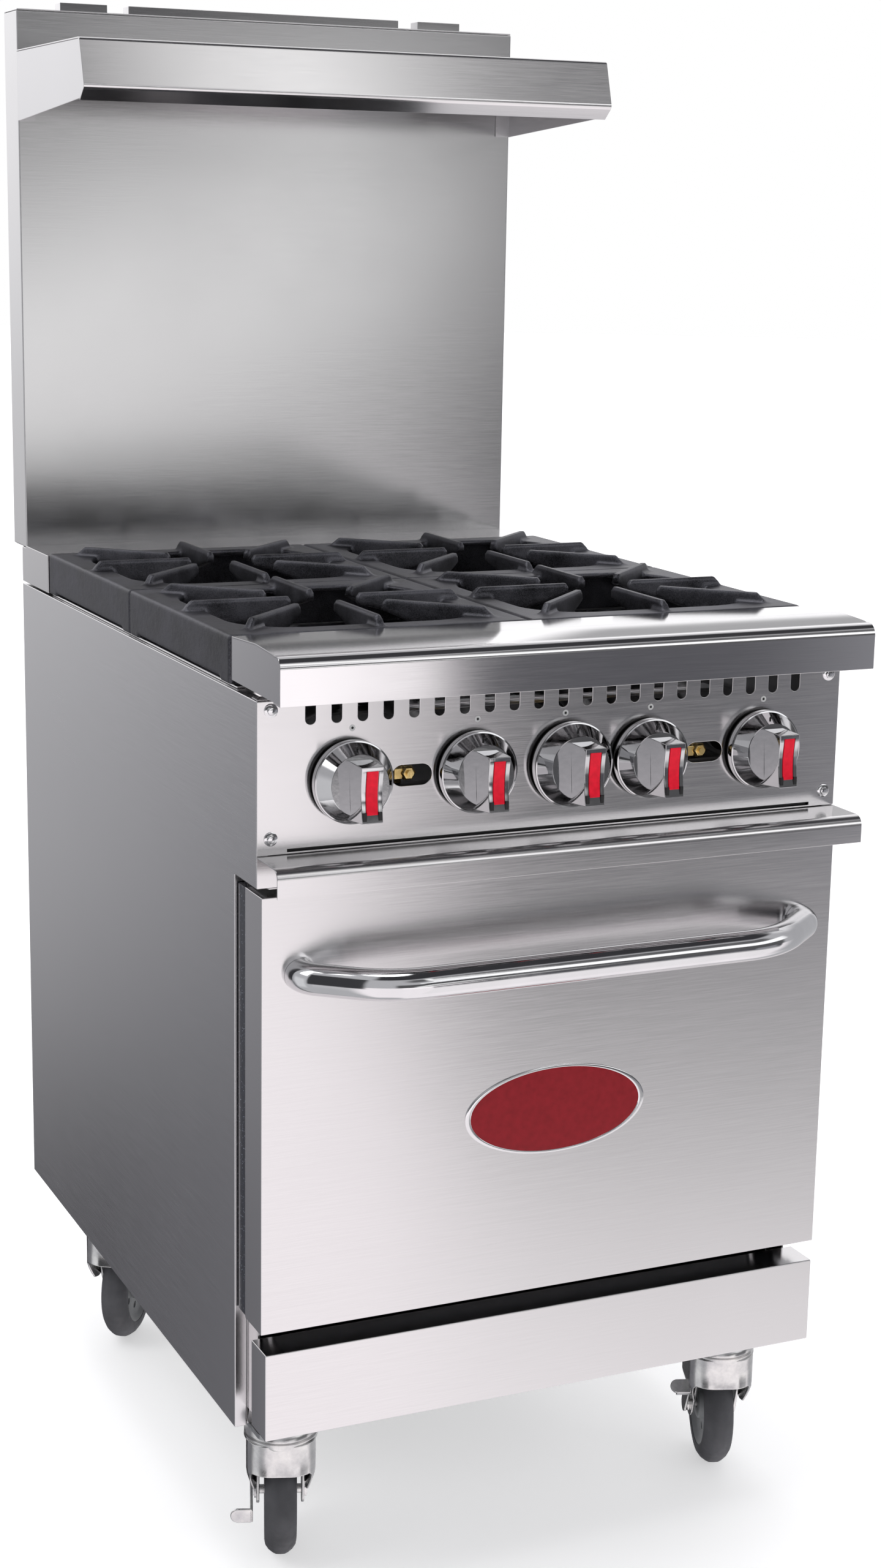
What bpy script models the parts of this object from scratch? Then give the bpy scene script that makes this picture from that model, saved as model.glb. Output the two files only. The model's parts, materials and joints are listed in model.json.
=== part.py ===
"""Four-burner commercial gas range on casters, with an oven, a flue riser and a high shelf.

Frame: X to the right, Y to the back, Z up, the floor at z = 0 and the origin under the middle.
Lengths are written in millimetres, and METRE turns them into metres where vertices are made.
"""

import math

import bmesh
import bpy
from mathutils import Matrix, Vector

METRE = 0.001
GAP = 0.3
SHEET = 1.5
THROUGH = 5.0
SMOOTH_BELOW_DEGREES = 35.0

# Body
HALF_WIDTH = 305.0
BODY_BACK_Y = 420.5
PANEL_FRONT_Y = -371.5
LOWER_FRONT_Y = -311.4
SKIRT_Z = 167.3
STEP_Z = 721.7
SIDE_TOP_Z = 893.8
FLANGE = 12.0
INNER_HALF_WIDTH = HALF_WIDTH - FLANGE - 0.4

# Control panel, valves and knobs
KNOB_Z = 816.5
BURNER_KNOBS_X = (-216.0, -91.0, 91.0, 216.0)
PILOT_X = (-154.0, 154.0)
KNOB_RADIUS = 38.8
THERMOSTAT_KNOB_RADIUS = 41.0
THERMOSTAT_X = 7.0
KNOB_BACK_Y = PANEL_FRONT_Y - 2.5
KNOB_FRONT_Y = -427.5
STEM_RADIUS = 4.0
PANEL_BOTTOM_Z = 752.6
PANEL_TOP_Z = 896.0
SLOT_COUNT = 21
SLOT_PITCH = 25.4
SLOT_WIDTH = 10.0
SLOT_BOTTOM_Z = 870.0
SLOT_TOP_Z = 892.0

# Gas line
MANIFOLD_Y = -335.0
MANIFOLD_Z = 788.0
MANIFOLD_RADIUS = 13.5
INLET_X = 268.0
INLET_END_Y = 446.0
VALVE_BASE_Z = MANIFOLD_Z + MANIFOLD_RADIUS + GAP
OVEN_PIPE_RADIUS = 5.0

# Cooktop
GRATE_WIDTH = 303.8
GRATE_DEPTH = 301.6
GRATE_FOOT_Z = 896.4
GRATE_TOP_Z = 942.0
FIN_TOP_Z = 952.0
GRATE_X = 152.6
GRATE_FRONT_Y = -145.8
GRATE_REAR_Y = 156.6
RIM = 27.0
RIM_THICKNESS = 6.0
BURNER_RADIUS = 48.0
BURNER_TOP_Z = 892.5
BURNER_TUBE_Z = 848.0
BURNER_TUBE_RADIUS = 12.5

# Oven
DOOR_HALF_WIDTH = 303.0
DOOR_FRONT_Y = -378.5
DOOR_BACK_Y = -313.5
DOOR_BOTTOM_Z = 291.4
DOOR_TOP_Z = 715.0
DOOR_HINGE_Y = -359.5
DOOR_HINGE_Z = 300.0
CAVITY_HALF_WIDTH = 254.3
CAVITY_BACK_Y = 330.0
CAVITY_FLOOR_Z = 330.0
CAVITY_TOP_Z = 686.3
NECK_X = (-95.0, 95.0)
NECK_Z = (605.0, 665.0)
NECK_WALL = 3.0
RACK_LEVELS_Z = (400.0, 460.0, 520.0, 580.0, 640.0)
RACKS_Z = (460.0, 580.0)
HINGE_ARM_X = 270.0
HANDLE_Z = 640.0
HANDLE_RADIUS = 15.0
HANDLE_BAR_Y = -444.0
HANDLE_BAR_HALF = 202.0
HANDLE_END_X = 272.0
KICK_FRONT_Y = -382.5
KICK_HALF_WIDTH = 300.0
KICK_BOTTOM_Z = 184.5
KICK_TOP_Z = 272.0

# Flue riser and shelf
COLLECTOR_HALF_WIDTH = 235.0
COLLECTOR_BOTTOM_Z = 590.0
RISER_HALF_WIDTH = 304.0
RISER_FRONT_Y = 404.6
RISER_BACK_Y = 459.0
RISER_BOTTOM_Z = 937.0
RISER_TOP_Z = 1533.6
CAP_TOP_Z = 1546.0
SHELF_TOP_Z = 1491.0
SHELF_FRONT_Y = 157.5

# Casters
CASTER_X = 250.0
CASTER_FRONT_Y = -292.0
CASTER_REAR_Y = 252.0
CASTER_PLATE_TOP_Z = 167.6
CASTER_PLATE_THICKNESS = 4.0
WHEEL_RADIUS = 63.5
WHEEL_HALF_WIDTH = 16.5
TRAIL = 34.0
AXLE_RADIUS = 5.0

MATERIALS = {
    "stainless_brushed": ((0.78, 0.77, 0.78), 0.30, 1.0),
    "stainless_polished": ((0.82, 0.81, 0.82), 0.18, 1.0),
    "galvanised_sheet": ((0.55, 0.56, 0.57), 0.45, 1.0),
    "enamel_oven": ((0.05, 0.06, 0.09), 0.25, 0.0),
    "cast_iron": ((0.035, 0.035, 0.038), 0.45, 0.3),
    "chrome": ((0.86, 0.86, 0.87), 0.07, 1.0),
    "brass": ((0.72, 0.56, 0.25), 0.28, 1.0),
    "black_steel": ((0.05, 0.05, 0.055), 0.45, 0.8),
    "insulation": ((0.74, 0.68, 0.50), 0.95, 0.0),
    "caster_zinc": ((0.62, 0.63, 0.64), 0.30, 1.0),
    "caster_rubber": ((0.07, 0.07, 0.075), 0.60, 0.0),
    "wire_chrome": ((0.75, 0.75, 0.76), 0.15, 1.0),
}


def clear_scene():
    for old in list(bpy.data.objects):
        bpy.data.objects.remove(old)


def material(name):
    found = bpy.data.materials.get(name)
    if found:
        return found
    colour, roughness, metallic = MATERIALS[name]
    made = bpy.data.materials.new(name)
    made.use_nodes = True
    shader = made.node_tree.nodes["Principled BSDF"]
    shader.inputs["Base Color"].default_value = (*colour, 1.0)
    shader.inputs["Roughness"].default_value = roughness
    shader.inputs["Metallic"].default_value = metallic
    return made


# ---------------------------------------------------------------- shapes


def to_object(bm):
    """A scene object from a bmesh in millimetres, with its faces pointing out."""
    bmesh.ops.scale(bm, vec=(METRE, METRE, METRE), verts=bm.verts)
    bmesh.ops.recalc_face_normals(bm, faces=bm.faces)
    mesh = bpy.data.meshes.new("shape")
    bm.to_mesh(mesh)
    bm.free()
    made = bpy.data.objects.new("shape", mesh)
    bpy.context.scene.collection.objects.link(made)
    return made


def prism(outlines, axis, low, high):
    """Each closed outline extruded along an axis. Outline points are (y, z), (x, z) or (x, y)."""
    bm = bmesh.new()
    for outline in outlines:
        base = []
        for a, b in outline:
            point = {"x": (low, a, b), "y": (a, low, b), "z": (a, b, low)}[axis]
            base.append(bm.verts.new(point))
        face = bm.faces.new(base)
        grown = bmesh.ops.extrude_face_region(bm, geom=[face])
        tops = [item for item in grown["geom"] if isinstance(item, bmesh.types.BMVert)]
        travel = {"x": (high - low, 0, 0), "y": (0, high - low, 0), "z": (0, 0, high - low)}[axis]
        bmesh.ops.translate(bm, vec=travel, verts=tops)
    return to_object(bm)


def box(x, y, z):
    """A box from three (low, high) pairs."""
    outline = [(y[0], z[0]), (y[1], z[0]), (y[1], z[1]), (y[0], z[1])]
    return prism([outline], "x", min(x), max(x))


def boxes(items):
    """Several boxes as one object; they become one body when they are united with what they touch."""
    bm = bmesh.new()
    for x, y, z in items:
        centre = Vector(((x[0] + x[1]) / 2, (y[0] + y[1]) / 2, (z[0] + z[1]) / 2))
        size = (abs(x[1] - x[0]), abs(y[1] - y[0]), abs(z[1] - z[0]), 1)
        bmesh.ops.create_cube(bm, size=1, matrix=Matrix.Translation(centre) @ Matrix.Diagonal(size))
    return to_object(bm)


def turned(profile, axis="z", centre=(0, 0, 0), sides=24):
    """A profile of (radius, height) points spun about an axis; it starts and ends on the axis."""
    bm = bmesh.new()
    rings = []
    for radius, height in profile:
        if radius == 0:
            rings.append([bm.verts.new((0, 0, height))])
            continue
        ring = []
        for k in range(sides):
            angle = 2 * math.pi * k / sides
            ring.append(bm.verts.new((radius * math.cos(angle), radius * math.sin(angle), height)))
        rings.append(ring)
    for lower, upper in zip(rings, rings[1:]):
        for k in range(sides):
            following = (k + 1) % sides
            corners = [lower[k % len(lower)], lower[following % len(lower)]]
            corners += [upper[following % len(upper)], upper[k % len(upper)]]
            bm.faces.new(list(dict.fromkeys(corners)))
    turn = {
        "z": Matrix.Identity(4),
        "y": Matrix.Rotation(math.radians(-90), 4, "X"),
        "x": Matrix.Rotation(math.radians(90), 4, "Y"),
    }[axis]
    bmesh.ops.transform(bm, matrix=Matrix.Translation(centre) @ turn, verts=bm.verts)
    return to_object(bm)


def cylinder(radius, low, high, axis, centre, sides=24):
    return turned([(0, low), (radius, low), (radius, high), (0, high)], axis, centre, sides)


def rounded_route(corners, bend, steps=5):
    """Straight runs through the corners, with each inner corner replaced by a smooth bend."""
    corners = [Vector(point) for point in corners]
    route = [corners[0]]
    for before, corner, after in zip(corners, corners[1:], corners[2:]):
        start = corner + (before - corner).normalized() * bend
        end = corner + (after - corner).normalized() * bend
        for k in range(steps + 1):
            t = k / steps
            route.append(start * (1 - t) ** 2 + corner * 2 * t * (1 - t) + end * t**2)
    route.append(corners[-1])
    return route


def tube(route, radius, sides=16, end_normal=None):
    """A round bar swept along a route. With end_normal, both ends are cut flat across that direction."""
    bm = bmesh.new()
    tangents = []
    for k in range(len(route)):
        ahead = route[min(k + 1, len(route) - 1)] - route[max(k - 1, 0)]
        tangents.append(ahead.normalized())
    side = tangents[0].orthogonal().normalized()
    rings = []
    for k, (point, tangent) in enumerate(zip(route, tangents)):
        side = (side - tangent * side.dot(tangent)).normalized()
        across = tangent.cross(side)
        ring = []
        for j in range(sides):
            angle = 2 * math.pi * j / sides
            offset = (side * math.cos(angle) + across * math.sin(angle)) * radius
            if end_normal and k in (0, len(route) - 1):
                offset -= tangent * (offset.dot(end_normal) / tangent.dot(end_normal))
            ring.append(bm.verts.new(point + offset))
        rings.append(ring)
    for lower, upper in zip(rings, rings[1:]):
        for j in range(sides):
            following = (j + 1) % sides
            bm.faces.new((lower[j], lower[following], upper[following], upper[j]))
    bm.faces.new(rings[0])
    bm.faces.new(rings[-1])
    return to_object(bm)


def line_offset(points, distance, closed):
    """The points moved sideways by a distance, with mitred corners. Positive is to the left."""
    points = [Vector(point) for point in points]
    count = len(points)
    moved = []
    for k, point in enumerate(points):
        before = points[k - 1] if closed or k > 0 else None
        after = points[(k + 1) % count] if closed or k < count - 1 else None
        normals = []
        for start, end in ((before, point), (point, after)):
            if start is not None and end is not None:
                run = (end - start).normalized()
                normals.append(Vector((-run.y, run.x)))
        middle = sum(normals, Vector((0, 0))).normalized()
        moved.append(point + middle * (distance / middle.dot(normals[0])))
    return moved


def bent_sheet(points, thickness=SHEET):
    """The closed outline of a sheet that follows the points, thickened to their left."""
    return [Vector(point) for point in points] + line_offset(points, thickness, False)[::-1]


def inset(outline, distance):
    """A closed outline, given anticlockwise, moved inwards."""
    return line_offset(outline, distance, True)


def arc(centre, radius, start, end, steps):
    """Points on a circle, from a start angle to an end angle in degrees."""
    points = []
    for k in range(steps + 1):
        angle = math.radians(start + (end - start) * k / steps)
        points.append((centre[0] + radius * math.cos(angle), centre[1] + radius * math.sin(angle)))
    return points


def obround(centre, length, width, upright, steps=4):
    """A slot outline with round ends, lying along the first or the second coordinate."""
    reach = (length - width) / 2
    turn = 90 if upright else 0
    points = []
    for facing in (turn, turn + 180):
        aim = math.radians(facing)
        middle = (centre[0] + reach * math.cos(aim), centre[1] + reach * math.sin(aim))
        points += arc(middle, width / 2, facing - 90, facing + 90, steps)
    return points


def rounded_rectangle(centre, half_x, half_y, radius, steps=4):
    points = []
    for sign_x, sign_y, start in ((1, 1, 0), (-1, 1, 90), (-1, -1, 180), (1, -1, 270)):
        middle = (centre[0] + sign_x * (half_x - radius), centre[1] + sign_y * (half_y - radius))
        points += arc(middle, radius, start, start + 90, steps)
    return points


# ---------------------------------------------------------------- joining and naming


def combine(target, tool, operation):
    modifier = target.modifiers.new("combine", "BOOLEAN")
    modifier.operation = operation
    modifier.object = tool
    modifier.solver = "EXACT"
    evaluated = target.evaluated_get(bpy.context.evaluated_depsgraph_get())
    mesh = bpy.data.meshes.new_from_object(evaluated)
    target.modifiers.clear()
    target.data = mesh
    bpy.data.objects.remove(tool)
    return target


def unite(target, *tools):
    for tool in tools:
        combine(target, tool, "UNION")
    return target


def cut(target, *tools):
    for tool in tools:
        combine(target, tool, "DIFFERENCE")
    return target


def node(made, name, finish, origin=(0, 0, 0), smooth=False):
    """Names a finished shape, gives it its material and puts its origin at a point."""
    made.name = name
    made.data.name = name
    offset = Vector(origin) * METRE
    made.data.transform(Matrix.Translation(-offset))
    made.location = offset
    made.data.materials.clear()
    made.data.materials.append(material(finish))
    if smooth:
        made.data.shade_smooth()
        made.data.set_sharp_from_angle(angle=math.radians(SMOOTH_BELOW_DEGREES))
    return made


def side_name(sign):
    return "left" if sign < 0 else "right"


# ---------------------------------------------------------------- body


def side_panel(sign):
    """A tray-shaped sheet panel; its edges are folded inwards all round."""
    front = PANEL_FRONT_Y + SHEET + 0.4
    outline = [
        (LOWER_FRONT_Y, SKIRT_Z),
        (BODY_BACK_Y, SKIRT_Z),
        (BODY_BACK_Y, SIDE_TOP_Z),
        (front, SIDE_TOP_Z),
        (front, STEP_Z),
        (LOWER_FRONT_Y, STEP_Z),
    ]
    panel = prism([outline], "x", *sorted((sign * HALF_WIDTH, sign * (HALF_WIDTH - FLANGE))))
    skin = HALF_WIDTH - SHEET
    hollow = prism([inset(outline, SHEET)], "x", *sorted((sign * skin, sign * (skin - FLANGE))))
    cut(panel, hollow)
    node(panel, f"side_panel_{side_name(sign)}", "stainless_brushed")


def kick_bracket(sign):
    """The upright plate that carries one end of the kick plate; its rear corner stands above it."""
    rear = LOWER_FRONT_Y + 1
    front = KICK_FRONT_Y + SHEET + 0.4
    low = KICK_BOTTOM_Z + SHEET + 0.4
    high = KICK_TOP_Z - SHEET - 0.4
    outline = [(front, low), (rear, low), (rear, 288), (-341, 288), (-341, high), (front, high)]
    outer = INNER_HALF_WIDTH - 0.4
    return prism([outline], "x", *sorted((sign * outer, sign * (outer - 2))))


def hinge_arm(sign):
    """The arm, with its pin, on which one end of the door turns."""
    x = sign * HINGE_ARM_X
    rear = LOWER_FRONT_Y + 1
    outline = [(-352, 293), (-316, 293), (-312, 284), (rear, 284), (rear, 320), (-318, 320)]
    outline += [(-330, 308)]
    outline += arc((DOOR_HINGE_Y, DOOR_HINGE_Z), 8, 60, 300, 8)
    arm = prism([outline], "x", x - 2, x + 2)
    pin = cylinder(4, *sorted((x, x - sign * 12)), "x", (0, DOOR_HINGE_Y, DOOR_HINGE_Z), 16)
    return unite(arm, pin)


def front_frame():
    """The upright frame round the oven's mouth, with its hinge arms, the kick plate's brackets, and a
    shelf that closes the space under the tray."""
    shelf_z = STEP_Z - 0.3
    profile = [
        (PANEL_FRONT_Y + 2.5, shelf_z - SHEET),
        (LOWER_FRONT_Y + 0.3, shelf_z - SHEET),
        (LOWER_FRONT_Y + 0.3, SKIRT_Z + 1.6),
        (LOWER_FRONT_Y + 2.3, SKIRT_Z + 1.6),
        (LOWER_FRONT_Y + 2.3, shelf_z),
        (PANEL_FRONT_Y + 2.5, shelf_z),
    ]
    frame = prism([profile], "x", -INNER_HALF_WIDTH, INNER_HALF_WIDTH)
    through = (LOWER_FRONT_Y - THROUGH, LOWER_FRONT_Y + THROUGH)
    mouth_x = (-CAVITY_HALF_WIDTH, CAVITY_HALF_WIDTH)
    cut(frame, box(mouth_x, through, (CAVITY_FLOOR_Z, CAVITY_TOP_Z)))
    cut(frame, box((-200, 200), through, (200, 262)))
    for sign in (-1, 1):
        unite(frame, kick_bracket(sign), hinge_arm(sign))
    node(frame, "front_frame", "stainless_brushed")


def back_panel():
    """The rear sheet, with a wide cut-out for the flue collector, the gas inlet hole and rows of vents."""
    y = (BODY_BACK_Y - 1.8, BODY_BACK_Y - 0.3)
    through = (y[0] - THROUGH, y[1] + THROUGH)
    top_z = SIDE_TOP_Z - 2.5
    overlap = 11.0
    cutout_half_x = COLLECTOR_HALF_WIDTH - overlap
    panel = box((-INNER_HALF_WIDTH, INNER_HALF_WIDTH), y, (SKIRT_Z + 4.2, top_z))
    cutout_z = (COLLECTOR_BOTTOM_Z + overlap, top_z + THROUGH)
    cut(panel, box((-cutout_half_x, cutout_half_x), through, cutout_z))
    cut(panel, cylinder(20, through[0], through[1], "y", (INLET_X, 0, MANIFOLD_Z), 20))
    vents = []
    for z in (230.0, 300.0):
        for k in range(7):
            vents.append(obround((-210 + 70 * k, z), 44, 9, True, 2))
    cut(panel, prism(vents, "y", *through))
    node(panel, "back_panel", "galvanised_sheet")


def caster_plate(x, y):
    """A caster's mounting plate with the raised dish and the kingpin that its fork turns on."""
    low = CASTER_PLATE_TOP_Z - CASTER_PLATE_THICKNESS
    plate = prism([rounded_rectangle((x, y), 40, 50, 8, 3)], "z", low, CASTER_PLATE_TOP_Z + 1)
    kingpin = [(0, 133), (6, 133), (6, 159), (24, 159.5), (30, low + 1), (0, low + 1)]
    return unite(plate, turned(kingpin, "z", (x, y, 0), 14))


def base_frame():
    """The floor of the body: a folded sheet with a large air opening, and the casters' plates under it."""
    x = INNER_HALF_WIDTH
    y = (LOWER_FRONT_Y + 2.6, BODY_BACK_Y - 2.1)
    low = CASTER_PLATE_TOP_Z + 0.4
    frame = box((-x, x), y, (low, low + 26))
    cut(frame, box((-x + 2, x - 2), (y[0] + 2, y[1] - 2), (low + 2.5, low + 40)))
    cut(frame, box((-190, 190), (-200, 320), (low - 10, low + 10)))
    for x in (-CASTER_X, CASTER_X):
        for plate_y in (CASTER_FRONT_Y, CASTER_REAR_Y):
            unite(frame, caster_plate(x, plate_y))
    node(frame, "base_frame", "galvanised_sheet")


def kick_plate():
    """The folded plate under the door."""
    half = KICK_HALF_WIDTH
    plate = box((-half, half), (KICK_FRONT_Y, -344), (KICK_BOTTOM_Z, KICK_TOP_Z))
    hollow_y = (KICK_FRONT_Y + SHEET, -330)
    hollow_z = (KICK_BOTTOM_Z + SHEET, KICK_TOP_Z - SHEET)
    cut(plate, box((-half + SHEET, half - SHEET), hollow_y, hollow_z))
    node(plate, "kick_plate", "stainless_brushed")


# ---------------------------------------------------------------- control panel and gas line


def control_panel():
    """A folded sheet with the air slots, the stem holes, the pilot windows and the tray's clearance."""
    front = PANEL_FRONT_Y
    profile = [
        (front, PANEL_BOTTOM_Z),
        (front + SHEET, PANEL_BOTTOM_Z),
        (front + SHEET, PANEL_TOP_Z - SHEET),
        (front + 14, PANEL_TOP_Z - SHEET),
        (front + 14, PANEL_TOP_Z),
        (front, PANEL_TOP_Z),
    ]
    panel = prism([profile], "x", -HALF_WIDTH, HALF_WIDTH)
    through = (front - THROUGH, front + THROUGH)
    slots = []
    for k in range(SLOT_COUNT):
        x = SLOT_PITCH * (k - (SLOT_COUNT - 1) / 2)
        middle = (x, (SLOT_BOTTOM_Z + SLOT_TOP_Z) / 2)
        slots.append(obround(middle, SLOT_TOP_Z - SLOT_BOTTOM_Z, SLOT_WIDTH, True, 3))
    cut(panel, prism(slots, "y", *through))
    cut(panel, prism([obround((x, KNOB_Z), 40, 20, False, 5) for x in PILOT_X], "y", *through))
    stems = [arc((x, KNOB_Z), 7, 0, 320, 8) for x in (*BURNER_KNOBS_X, THERMOSTAT_X)]
    cut(panel, prism(stems, "y", *through))
    cut(panel, box((-276, 276), through, (PANEL_BOTTOM_Z - 5, 757)))
    node(panel, "control_panel", "stainless_brushed")


def knob(name, x, radius):
    """A turned skirt with a raised grip bar, bored from behind for the valve stem."""
    rim = KNOB_BACK_Y - 9.5
    face = KNOB_BACK_Y - 24
    profile = [
        (0, KNOB_BACK_Y),
        (radius - 1.5, KNOB_BACK_Y),
        (radius, KNOB_BACK_Y - 2),
        (radius, rim),
        (radius - 1.5, rim - 2),
        (radius * 0.72, face),
        (0, face),
    ]
    shape = turned(profile, "y", (x, 0, KNOB_Z), 24)
    low = KNOB_Z - radius * 0.73
    high = KNOB_Z + radius * 0.6
    side_outline = [
        (face + 6, low - 3.5),
        (face + 6, high),
        (KNOB_FRONT_Y + 1.5, high - 0.4),
        (KNOB_FRONT_Y + 2.2, KNOB_Z - 2),
        (KNOB_FRONT_Y, low),
    ]
    grip = prism([side_outline], "x", x - 10.3, x + 10.3)
    unite(shape, grip)
    cut(shape, cylinder(STEM_RADIUS + 0.5, -410, -300, "y", (x, 0, KNOB_Z), 10))
    node(shape, name, "chrome", origin=(x, PANEL_FRONT_Y - 0.5, KNOB_Z), smooth=True)


def burner_valve(name, x):
    """A brass valve on the manifold: its stem reaches into the knob, its jet points to the burner."""
    valve = turned(
        [
            (0, -406),
            (STEM_RADIUS, -406),
            (STEM_RADIUS, -356),
            (9, -355),
            (9, -343),
            (11, -342),
            (11, -322),
            (7, -320),
            (7, -308),
            (5, -306),
            (0, -306),
        ],
        "y",
        (x, 0, KNOB_Z),
        10,
    )
    unite(valve, cylinder(7, VALVE_BASE_Z, KNOB_Z, "z", (x, MANIFOLD_Y, 0), 8))
    node(valve, name, "brass", smooth=True)


def oven_thermostat():
    """The oven's control: a block on the manifold with a stem for the middle knob."""
    x = THERMOSTAT_X
    block = box((x - 22, x + 22), (-354, -318), (VALVE_BASE_Z, 842))
    unite(block, cylinder(STEM_RADIUS, -406, -350, "y", (x, 0, KNOB_Z), 16))
    unite(block, box((x - 6, x + 6), (-366, -350), (808, 836)))
    node(block, "oven_thermostat", "brass")


def pilot_valve(sign, x):
    """A small brass adjusting valve behind each window."""
    profile = [(0, -358), (3, -358), (5, -355), (5, -346), (8, -345), (8, -324), (0, -324)]
    valve = turned(profile, "y", (x, 0, KNOB_Z), 8)
    unite(valve, cylinder(4.5, VALVE_BASE_Z, KNOB_Z, "z", (x, MANIFOLD_Y, 0), 8))
    node(valve, f"pilot_valve_{side_name(sign)}", "brass")


def manifold_pipe():
    """The gas main behind the panel; it turns back along the right side to the inlet."""
    corners = [
        (-250, MANIFOLD_Y, MANIFOLD_Z),
        (INLET_X, MANIFOLD_Y, MANIFOLD_Z),
        (INLET_X, INLET_END_Y, MANIFOLD_Z),
    ]
    pipe = tube(rounded_route(corners, 26), MANIFOLD_RADIUS, 16)
    node(pipe, "manifold_pipe", "black_steel", smooth=True)


def oven_gas_pipe():
    """The thin pipe from the thermostat round the tray to the oven burner."""
    y = -360.0
    corners = [
        (THERMOSTAT_X, y, 807.5),
        (THERMOSTAT_X, y, 764),
        (281, y, 764),
        (281, -294, 764),
        (281, -294, 262),
        (0, -294, 262),
        (0, -278, 262),
    ]
    pipe = tube(rounded_route(corners, 8, 2), OVEN_PIPE_RADIUS, 8)
    node(pipe, "oven_gas_pipe", "galvanised_sheet", smooth=True)


# ---------------------------------------------------------------- cooktop


def cooktop_frame():
    """The frame under the grates: a plate with four wells and a skirt that hangs inside the body."""
    y = (-305.6, 309.6)
    top = GRATE_FOOT_Z - 0.3
    frame = box((-300, 300), y, (top - 2, top))
    unite(frame, box((-INNER_HALF_WIDTH, INNER_HALF_WIDTH), y, (top - 22, top - 1)))
    wells = []
    for x in ((-286, -8), (8, 286)):
        for well_y in ((-298, -2), (13, 302)):
            wells.append((x, well_y, (top - 30, top + 10)))
    cut(frame, boxes(wells))
    node(frame, "cooktop_frame", "stainless_polished")


def front_rail():
    """The bullnose rail along the front of the cooktop: a folded sheet, closed at both ends."""
    outline = [(-306, 902.5), (-427.5, 900.4), (-427, 928)]
    outline += arc((-418.5, 929), 8.5, 180, 105, 3)
    outline += [(-408, 941.7), (-367, 944), (-306, 941)]
    outline = outline[::-1]
    rail = prism([outline], "x", -HALF_WIDTH, HALF_WIDTH)
    wall = inset(outline, 2.0)
    lowered = [(y, z if z > 915 else z - 20) for y, z in wall]
    cut(rail, prism([lowered], "x", -HALF_WIDTH + 2, HALF_WIDTH - 2))
    node(rail, "front_rail", "stainless_polished", smooth=True)


def rear_strip():
    """The raised strip behind the grates; the flue riser stands on its lower step."""
    top = RISER_BOTTOM_Z - 0.4
    points = [
        (310.5, GRATE_FOOT_Z),
        (310.5, 939),
        (RISER_FRONT_Y - 0.4, 939),
        (RISER_FRONT_Y - 0.4, top),
        (BODY_BACK_Y - 0.5, top),
        (BODY_BACK_Y - 0.5, GRATE_FOOT_Z),
    ]
    outline = points[::-1]
    strip = prism([outline], "x", -HALF_WIDTH, HALF_WIDTH)
    wall = inset(outline, SHEET)
    lowered = [(y, z if z > 910 else z - 20) for y, z in wall]
    cut(strip, prism([lowered], "x", -HALF_WIDTH + SHEET, HALF_WIDTH - SHEET))
    node(strip, "rear_strip", "stainless_brushed")


def grate(name, x, y):
    """A cast grate: a rim of angle section with a round-cornered opening and eight radial fins."""
    half_x = GRATE_WIDTH / 2
    half_y = GRATE_DEPTH / 2
    rim_low = GRATE_TOP_Z - RIM_THICKNESS
    frame = box((x - half_x, x + half_x), (y - half_y, y + half_y), (GRATE_FOOT_Z, GRATE_TOP_Z))
    wall = 6.0
    inside_x = (x - half_x + wall, x + half_x - wall)
    inside_y = (y - half_y + wall, y + half_y - wall)
    cut(frame, box(inside_x, inside_y, (GRATE_FOOT_Z - 10, rim_low)))
    opening = rounded_rectangle((x, y), half_x - RIM, half_y - RIM, 62, 5)
    cut(frame, prism([opening], "z", rim_low - 10, GRATE_TOP_Z + 10))
    notch_z = (GRATE_FOOT_Z - 5, GRATE_FOOT_Z + 3)
    across_x = (x - half_x - THROUGH, x + half_x + THROUGH)
    across_y = (y - half_y - THROUGH, y + half_y + THROUGH)
    cut(frame, box(across_x, (y - half_y + 26, y + half_y - 26), notch_z))
    cut(frame, box((x - half_x + 26, x + half_x - 26), across_y, notch_z))
    cardinal = [(35, 943.5), (92, 928), (147, 908)]
    cardinal += [(147, 943), (138, FIN_TOP_Z), (38, FIN_TOP_Z), (35, 949)]
    diagonal = [(63, 943.5), (110, 928), (196, 908)]
    diagonal += [(196, 941), (176, 943), (168, FIN_TOP_Z), (66, FIN_TOP_Z), (63, 949)]
    for k in range(8):
        outline = diagonal if k % 2 else cardinal
        fin = prism([outline], "y", -4.5, 4.5)
        turn = Matrix.Rotation(math.radians(45 * k), 4, "Z")
        fin.data.transform(Matrix.Translation(Vector((x, y, 0)) * METRE) @ turn)
        unite(frame, fin)
    node(frame, name, "cast_iron", origin=(x, y, GRATE_FOOT_Z))


def burner(name, x, y, mouth_x):
    """An open burner: a round head on a neck, fed by a mixing tube that starts at the valve's jet."""
    head = turned(
        [
            (0, 838),
            (17, 838),
            (17, 866),
            (BURNER_RADIUS - 6, 872),
            (BURNER_RADIUS, 876),
            (BURNER_RADIUS, 884),
            (BURNER_RADIUS - 4, BURNER_TOP_Z - 1),
            (BURNER_RADIUS - 10, BURNER_TOP_Z),
            (22, BURNER_TOP_Z - 5),
            (0, BURNER_TOP_Z - 5),
        ],
        "z",
        (x, y, 0),
        16,
    )
    corners = [
        (mouth_x, -298, KNOB_Z),
        (mouth_x, -274, KNOB_Z),
        (mouth_x, -214, BURNER_TUBE_Z),
        (x, y, BURNER_TUBE_Z),
    ]
    mixing_tube = tube(rounded_route(corners, 20, 2), BURNER_TUBE_RADIUS, 10)
    unite(head, mixing_tube)
    bell = turned([(0, -302), (16, -302), (16, -296), (11, -280), (0, -280)], "y", (mouth_x, 0, KNOB_Z), 12)
    unite(head, bell)
    node(head, name, "cast_iron", smooth=True)


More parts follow.
